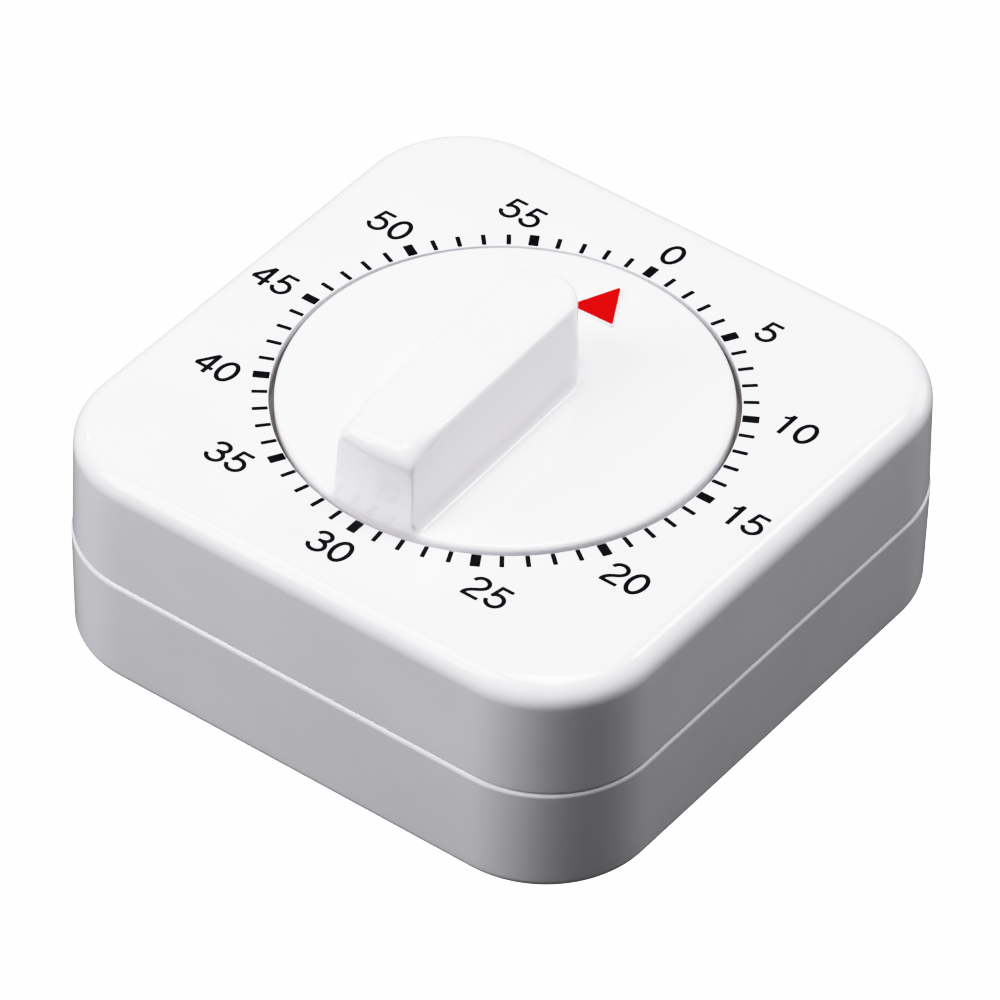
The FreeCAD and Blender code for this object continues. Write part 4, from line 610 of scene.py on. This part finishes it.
# Each digit is a list of strokes, each a path in millimetres from its lower left corner and a width.
DIGITS = {
    "0": [(arc((1.1, 1.625), (0.89, 1.43), 0, 360, 72), STEM)],
    "1": [
        (line((1.30, 0.0), (1.30, DIGIT_HEIGHT)), STEM),
        (bezier((0.42, 2.44), (0.92, 2.46), (1.14, 2.72), (1.22, 3.22)), 0.38),
    ],
    "2": [
        (arc((1.1, 2.27), (0.87, 0.79), 176, 0), CURVE_STROKE),
        (bezier((1.97, 2.28), (1.97, 1.35), (0.36, 1.30), (0.26, 0.16)), CURVE_STROKE),
        (line((0.06, 0.18), (2.14, 0.18)), BAR_STROKE),
    ],
    "3": [
        (arc((1.06, 2.40), (0.80, 0.66), 172, -90), CURVE_STROKE),
        (arc((1.08, 0.97), (0.91, 0.78), 90, -176), CURVE_STROKE),
        (line((0.74, 1.74), (1.12, 1.74)), BAR_STROKE),
    ],
    "4": [
        (line((1.60, 0.0), (1.60, DIGIT_HEIGHT)), STEM),
        (line((0.04, 0.96), (2.24, 0.96)), BAR_STROKE),
        (line((0.14, 0.98), (1.54, 3.10)), CURVE_STROKE),
    ],
    "5": [
        (line((0.50, 3.07), (2.02, 3.07)), BAR_STROKE),
        (line((0.66, 3.20), (0.38, 1.50)), BAR_STROKE),
        (arc((1.08, 1.10), (0.92, 0.91), 148, -168), CURVE_STROKE),
    ],
}


def stroke_solid(path, width, closed):
    """A flat ribbon of ink along a path, in its own object, lying on the face."""
    low, high = FACE - INK_SINK, FACE + INK_THICKNESS
    widths = [width] * len(path)
    if not closed:
        first = path[0] + (path[1] - path[0]).normalized() * STROKE_END_ROUND
        last = path[-1] + (path[-2] - path[-1]).normalized() * STROKE_END_ROUND
        path = [path[0], first, *path[1:-1], last, path[-1]]
        narrow = width - 2 * STROKE_END_ROUND
        widths = [narrow, *[width] * (len(path) - 2), narrow]
    count = len(path)
    data = bmesh.new()
    rows = []
    for i, point in enumerate(path):
        if closed:
            ahead, behind = path[(i + 1) % count], path[i - 1]
        else:
            ahead, behind = path[min(i + 1, count - 1)], path[max(i - 1, 0)]
        along = (ahead - behind).normalized()
        across = Vector((-along.y, along.x)) * widths[i] / 2
        left, right = point + across, point - across
        rows.append([
            data.verts.new((spot.x, spot.y, height))
            for spot, height in ((left, low), (right, low), (right, high), (left, high))
        ])
    pairs = list(zip(rows, rows[1:]))
    if closed:
        pairs.append((rows[-1], rows[0]))
    else:
        data.faces.new(rows[0])
        data.faces.new(rows[-1])
    for first, second in pairs:
        for k in range(4):
            data.faces.new((first[k], first[(k + 1) % 4], second[(k + 1) % 4], second[k]))
    bmesh.ops.recalc_face_normals(data, faces=data.faces)
    return to_object("tool", data)


def digit(character):
    """One digit as a single solid."""
    solids = []
    for path, width in DIGITS[character]:
        closed = (path[0] - path[-1]).length < 1e-6
        solids.append(stroke_solid(path[:-1] if closed else path, width, closed))
    first = solids[0]
    combine(first, "UNION", solids[1:])
    return first


def joined(name, items):
    """One object from several."""
    data = bmesh.new()
    for item in items:
        mesh = item.data.copy()
        mesh.transform(item.matrix_world)
        data.from_mesh(mesh)
        bpy.data.meshes.remove(mesh)
        bpy.data.objects.remove(item)
    mesh = bpy.data.meshes.new(name)
    data.to_mesh(mesh)
    data.free()
    whole = bpy.data.objects.new(name, mesh)
    bpy.context.scene.collection.objects.link(whole)
    return whole


def numerals():
    """0 to 55 in fives, upright, on an oval around the dial. 25, 35 and 55 stand further aside."""
    items = []
    for minute in range(0, MINUTES, 5):
        angle = 2 * math.pi * minute / MINUTES
        text = str(minute)
        centre_x = LABEL_CENTRE[0] + LABEL_RING[0] * math.sin(angle)
        centre_y = LABEL_CENTRE[1] + LABEL_RING[1] * math.cos(angle)
        if minute in (25, 35, 55):
            centre_x += math.copysign(LABEL_STEP[0], centre_x)
            centre_y -= math.copysign(LABEL_STEP[1], centre_y)
        start = centre_x - (DIGIT_PITCH * (len(text) - 1) + DIGIT_WIDTH) / 2
        for place, character in enumerate(text):
            item = digit(character)
            corner = Vector((start + place * DIGIT_PITCH, centre_y - DIGIT_HEIGHT / 2, 0))
            item.data.transform(Matrix.Translation(corner * MM))
            items.append(item)
    return joined("scale_numerals", items)


def tick(minute):
    """One minute mark: a bar of ink with slightly round corners."""
    inner, outer, width = MAJOR_TICK if minute % 5 == 0 else MINOR_TICK
    steps = 4
    outline = []
    for i, (x, y) in enumerate([
        (width / 2 - TICK_CORNER, outer - TICK_CORNER), (-width / 2 + TICK_CORNER, outer - TICK_CORNER),
        (-width / 2 + TICK_CORNER, inner + TICK_CORNER), (width / 2 - TICK_CORNER, inner + TICK_CORNER),
    ]):
        for k in range(steps + 1):
            angle = math.pi / 2 * (i + k / steps)
            outline.append((x + TICK_CORNER * math.cos(angle), y + TICK_CORNER * math.sin(angle)))
    item = prism(outline, FACE - INK_SINK, FACE + INK_THICKNESS)
    item.data.transform(Matrix.Rotation(SCALE_TURN - 2 * math.pi * minute / MINUTES, 4, "Z"))
    return item


def ticks():
    return joined("scale_ticks", [tick(minute) for minute in range(MINUTES)])


# ---------------------------------------------------------------- materials

def nodes_of(name):
    material = bpy.data.materials.new(name)
    material.use_nodes = True
    tree = material.node_tree
    return material, tree, tree.nodes["Principled BSDF"]


def add(tree, kind, inputs=None, **settings):
    """A node with its settings and unlinked inputs."""
    item = tree.nodes.new(kind)
    for key, value in settings.items():
        setattr(item, key, value)
    for key, value in (inputs or {}).items():
        item.inputs[key].default_value = value
    return item


def object_place(tree):
    """Place on the object in millimetres."""
    coordinates = add(tree, "ShaderNodeTexCoord")
    scaled = add(tree, "ShaderNodeVectorMath", {1: (1 / MM, 1 / MM, 1 / MM)}, operation="MULTIPLY")
    tree.links.new(coordinates.outputs["Object"], scaled.inputs[0])
    return scaled.outputs["Vector"]


def noise(tree, place, size, detail=3.0, stretch=(1, 1, 1)):
    """Even noise whose features are about as large as size, in millimetres."""
    squeezed = add(tree, "ShaderNodeVectorMath", {1: stretch}, operation="MULTIPLY")
    tree.links.new(place, squeezed.inputs[0])
    texture = add(tree, "ShaderNodeTexNoise", {"Scale": 1 / size, "Detail": detail})
    tree.links.new(squeezed.outputs["Vector"], texture.inputs["Vector"])
    return texture.outputs["Fac"]


def ranged(tree, value, low, high, from_low=0.3, from_high=0.7):
    """A value stretched from its usual range to another."""
    item = add(tree, "ShaderNodeMapRange", {
        "From Min": from_low, "From Max": from_high, "To Min": low, "To Max": high,
    })
    tree.links.new(value, item.inputs["Value"])
    return item.outputs["Result"]


def blended(tree, factor, first, second):
    """A colour between two colours."""
    item = add(tree, "ShaderNodeMix", data_type="RGBA")
    item.inputs["A"].default_value = (*first, 1)
    item.inputs["B"].default_value = (*second, 1)
    tree.links.new(factor, item.inputs["Factor"])
    return item.outputs["Result"]


def bumps(tree, shader, layers):
    """Chain bump layers of (height value, depth in millimetres) into the shader's normal."""
    normal = None
    for height, depth in layers:
        item = add(tree, "ShaderNodeBump", {"Strength": 1.0, "Distance": depth * MM})
        tree.links.new(height, item.inputs["Height"])
        if normal:
            tree.links.new(normal, item.inputs["Normal"])
        normal = item.outputs["Normal"]
    tree.links.new(normal, shader.inputs["Normal"])


def times(tree, first, second):
    """The product of two values."""
    item = add(tree, "ShaderNodeMath", operation="MULTIPLY")
    tree.links.new(first, item.inputs[0])
    tree.links.new(second, item.inputs[1])
    return item.outputs["Value"]


def dust_mask(tree, place):
    """Where painted shade goes: 1 deep in the gap around the dial, 0 outside it and under the recess."""
    parts = add(tree, "ShaderNodeSeparateXYZ")
    tree.links.new(place, parts.inputs["Vector"])
    across = add(tree, "ShaderNodeVectorMath", {1: (1, 1, 0)}, operation="MULTIPLY")
    tree.links.new(place, across.inputs[0])
    radius = add(tree, "ShaderNodeVectorMath", operation="LENGTH")
    tree.links.new(across.outputs["Vector"], radius.inputs[0])
    height = parts.outputs["Z"]
    deep = ranged(tree, height, 1, 0, GAP_SHADE_LEVELS[0], GAP_SHADE_LEVELS[1])
    above = ranged(tree, height, 0, 1, RECESS_UNDERSIDE, RECESS_FLOOR - OVERLAP)
    edge = RECESS_RADIUS + OVERLAP
    inside = ranged(tree, radius.outputs["Value"], 1, 0, edge - OVERLAP / 2, edge + OVERLAP / 2)
    return times(tree, times(tree, deep, inside), above)


def white_plastic(name, bright, shade, gloss, wave_depth):
    """Glossy moulded plastic: mould waviness, fine grain, hairline scratches, and painted shade deep in
    the gap around the dial.
    """
    material, tree, shader = nodes_of(name)
    place = object_place(tree)
    cloud = noise(tree, place, 14.0)
    wave = noise(tree, place, 9.0, detail=1.0)
    grain = noise(tree, place, 0.12, detail=2.0)
    scratch = noise(tree, place, 1.0, detail=4.0, stretch=(9.0, 0.25, 3.0))
    colour = blended(tree, ranged(tree, cloud, 0, 1), bright, shade)
    gap_shaded = add(tree, "ShaderNodeMix", data_type="RGBA")
    tree.links.new(dust_mask(tree, place), gap_shaded.inputs["Factor"])
    tree.links.new(colour, gap_shaded.inputs["A"])
    # Painted shade: the darker colour deep in the gap around the dial.
    gap_shaded.inputs["B"].default_value = (0.33, 0.30, 0.295, 1)
    tree.links.new(gap_shaded.outputs["Result"], shader.inputs["Base Color"])
    rough = add(tree, "ShaderNodeMath", operation="ADD")
    tree.links.new(ranged(tree, cloud, gloss - 0.03, gloss + 0.03), rough.inputs[0])
    tree.links.new(ranged(tree, scratch, 0.0, 0.10, 0.60, 0.75), rough.inputs[1])
    tree.links.new(rough.outputs["Value"], shader.inputs["Roughness"])
    shader.inputs["IOR"].default_value = 1.5
    bumps(tree, shader, [(wave, wave_depth), (grain, 0.0006)])
    return material


def ink_material():
    """Screen-printed black ink: slightly uneven, a little less glossy than the plastic."""
    material, tree, shader = nodes_of("scale_ink")
    place = object_place(tree)
    patch = noise(tree, place, 0.6)
    colour = blended(tree, ranged(tree, patch, 0, 1), (0.0012, 0.0012, 0.0018), (0.003, 0.003, 0.004))
    tree.links.new(colour, shader.inputs["Base Color"])
    tree.links.new(ranged(tree, patch, 0.32, 0.48), shader.inputs["Roughness"])
    shader.inputs["Specular IOR Level"].default_value = 0.03
    bumps(tree, shader, [(noise(tree, place, 0.08), 0.001)])
    return material


def paint_material():
    """Glossy red pad-printed paint."""
    material, tree, shader = nodes_of("pointer_red")
    place = object_place(tree)
    patch = noise(tree, place, 0.9)
    colour = blended(tree, ranged(tree, patch, 0, 1), (0.52, 0.001, 0.0015), (0.46, 0.0005, 0.001))
    tree.links.new(colour, shader.inputs["Base Color"])
    tree.links.new(ranged(tree, patch, 0.34, 0.46), shader.inputs["Roughness"])
    shader.inputs["Specular IOR Level"].default_value = 0.03
    bumps(tree, shader, [(noise(tree, place, 0.10), 0.001)])
    return material


def metal(name, bright, dull, rough, brushed, size=1.2):
    """Bare metal: tarnish clouds, brushing along one direction and fine pitting."""
    material, tree, shader = nodes_of(name)
    place = object_place(tree)
    cloud = noise(tree, place, 4.0, detail=4.0)
    lines = noise(tree, place, size, detail=3.0, stretch=brushed)
    colour = blended(tree, ranged(tree, cloud, 0, 1), bright, dull)
    tree.links.new(colour, shader.inputs["Base Color"])
    shader.inputs["Metallic"].default_value = 1.0
    tree.links.new(ranged(tree, lines, rough - 0.08, rough + 0.10), shader.inputs["Roughness"])
    bumps(tree, shader, [(lines, 0.006), (noise(tree, place, 0.15), 0.002)])
    return material


MATERIALS = {
    "white_shell": white_plastic("white_shell", (0.91, 0.895, 0.94), (0.86, 0.845, 0.89), 0.12, 0.010),
    "white_dial": white_plastic("white_dial", (0.91, 0.895, 0.93), (0.885, 0.87, 0.905), 0.12, 0.006),
    "pointer_red": paint_material(),
    "scale_ink": ink_material(),
    "steel": metal("steel", (0.60, 0.60, 0.61), (0.48, 0.48, 0.50), 0.30, (1.0, 8.0, 1.0)),
    "spring_steel": metal("spring_steel", (0.16, 0.20, 0.30), (0.10, 0.11, 0.15), 0.28, (1.0, 1.0, 8.0)),
    "bell_steel": metal("bell_steel", (0.74, 0.73, 0.70), (0.64, 0.63, 0.61), 0.18, (1.0, 1.0, 6.0)),
    "brass": metal("brass", (0.80, 0.60, 0.24), (0.66, 0.46, 0.17), 0.27, (8.0, 1.0, 1.0)),
    "plate_brass": metal("plate_brass", (0.78, 0.62, 0.30), (0.62, 0.46, 0.20), 0.36, (1.0, 9.0, 1.0)),
}


def dress(item, slot):
    item.data.materials.clear()
    item.data.materials.append(MATERIALS[slot])


# ---------------------------------------------------------------- build the pieces

for piece, body, slot, node in [
    (upper_shell(), "case", "white_shell", "upper_case"),
    (lower_shell(), "case", "white_shell", "lower_case"),
    (knob(), "dial", "white_dial", "dial_knob"),
]:
    smooth(piece)
    dress(piece, slot)
    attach(piece, body)
    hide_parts(node)
for piece, body, slot in [
    (numerals(), "case", "scale_ink"),
    (ticks(), "case", "scale_ink"),
    (pointer_paint(), "dial", "pointer_red"),
]:
    smooth(piece)
    dress(piece, slot)
    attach(piece, body)

for part in frame["record"]["subparts"]:
    item = frame["nodes"][part["node"]]
    if not item.hide_render:
        item.data.materials.clear()
        item.data.materials.append(MATERIALS[part["material_slot"]])
        welded = item.modifiers.new("Weld", "WELD")
        welded.merge_threshold = 1e-7
        item.modifiers.new("Weighted normals", "WEIGHTED_NORMAL").keep_sharp = True


# ---------------------------------------------------------------- floor, light and camera

def floor():
    """A pale sheet that looks even and bright, but throws little light back at the object's sides."""
    data = bmesh.new()
    corners = [(-1, -1), (1, -1), (1, 1), (-1, 1)]
    data.faces.new([data.verts.new((x * FLOOR_HALF, y * FLOOR_HALF, 0)) for x, y in corners])
    mesh = bpy.data.meshes.new("floor")
    data.to_mesh(mesh)
    data.free()
    item = bpy.data.objects.new("floor", mesh)
    bpy.context.scene.collection.objects.link(item)
    material, tree, shader = nodes_of("floor")
    shader.inputs["Base Color"].default_value = (0.90, 0.90, 0.90, 1)
    shader.inputs["Roughness"].default_value = 0.8
    glow = add(tree, "ShaderNodeEmission", {"Color": (1, 1, 1, 1), "Strength": BACKDROP})
    dull = add(tree, "ShaderNodeBsdfDiffuse", {"Color": (0.06, 0.06, 0.063, 1)})
    seen = add(tree, "ShaderNodeMixShader", {"Fac": 0.12})
    tree.links.new(glow.outputs["Emission"], seen.inputs[1])
    tree.links.new(shader.outputs["BSDF"], seen.inputs[2])
    path = add(tree, "ShaderNodeLightPath")
    choice = add(tree, "ShaderNodeMixShader")
    tree.links.new(path.outputs["Is Camera Ray"], choice.inputs["Fac"])
    tree.links.new(dull.outputs["BSDF"], choice.inputs[1])
    tree.links.new(seen.outputs["Shader"], choice.inputs[2])
    tree.links.new(choice.outputs["Shader"], tree.nodes["Material Output"].inputs["Surface"])
    item.data.materials.append(material)


def world():
    """White backdrop for the camera, and a dim even room for everything else."""
    item = bpy.data.worlds.new("studio")
    bpy.context.scene.world = item
    item.use_nodes = True
    tree = item.node_tree
    background = tree.nodes["Background"]
    path = add(tree, "ShaderNodeLightPath")
    strength = add(tree, "ShaderNodeMapRange", {"To Min": ROOM_LIGHT, "To Max": BACKDROP})
    tree.links.new(path.outputs["Is Camera Ray"], strength.inputs["Value"])
    background.inputs["Color"].default_value = (1, 1, 1, 1)
    tree.links.new(strength.outputs["Result"], background.inputs["Strength"])


def bearing(azimuth, elevation):
    """Unit vector from the object towards a light or camera, in radians from the -Y side towards +X."""
    level = math.cos(elevation)
    return Vector((math.sin(azimuth) * level, -math.cos(azimuth) * level, math.sin(elevation)))


def soft_light(name, azimuth, elevation, distance, size, power):
    """A square soft box that faces the object."""
    back = bearing(math.radians(azimuth), math.radians(elevation))
    light = bpy.data.lights.new(name, "AREA")
    light.size = size
    light.energy = power
    item = bpy.data.objects.new(name, light)
    item.location = Vector((0, 0, FACE * MM)) + back * distance
    item.rotation_mode = "QUATERNION"
    item.rotation_quaternion = (-back).to_track_quat("-Z", "Y")
    bpy.context.scene.collection.objects.link(item)


def camera():
    """A long lens from the front right corner, above the case, with a slight roll."""
    azimuth, elevation, roll = (math.radians(a) for a in (36.34, 41.62, 1.32))
    distance, shift_right, shift_up = 811.0, -0.55, -10.47
    back = bearing(azimuth, elevation)
    level = Vector((math.cos(azimuth), math.sin(azimuth), 0))
    upright = back.cross(level)
    right = level * math.cos(roll) + upright * math.sin(roll)
    up = upright * math.cos(roll) - level * math.sin(roll)
    data = bpy.data.cameras.new("camera")
    data.sensor_width = 36.0
    data.lens = 287.2
    data.clip_start, data.clip_end = 0.05, 20.0
    item = bpy.data.objects.new("camera", data)
    place = Vector((0, 0, FACE)) + back * distance + right * shift_right + up * shift_up
    turn = Matrix((right, up, back)).transposed().to_4x4()
    item.matrix_world = Matrix.Translation(place * MM) @ turn
    bpy.context.scene.collection.objects.link(item)
    bpy.context.scene.camera = item


def tone():
    """Plain colours, with a soft shoulder that keeps lit white plastic just under the backdrop's white."""
    view = bpy.context.scene.view_settings
    view.view_transform = "Standard"
    view.use_curve_mapping = True
    curves = view.curve_mapping
    curves.use_clip = False
    curves.white_level = (TONE_WHITE, TONE_WHITE, TONE_WHITE)
    curve = curves.curves[3]
    curve.points[0].location = (0, 0)
    curve.points[1].location = (1, shoulder(TONE_WHITE))
    steps = 24
    for i in range(1, steps):
        light = TONE_WHITE * i / steps
        curve.points.new(i / steps, shoulder(light))
    curves.update()


def shoulder(light):
    """Output light: the same up to the knee, then levelling off towards white."""
    if light <= TONE_KNEE:
        return light
    room = 1 - TONE_KNEE
    return 1 - room * math.exp(-(light - TONE_KNEE) / room)


floor()
world()
for light in LIGHTS:
    soft_light(*light)
camera()
tone()
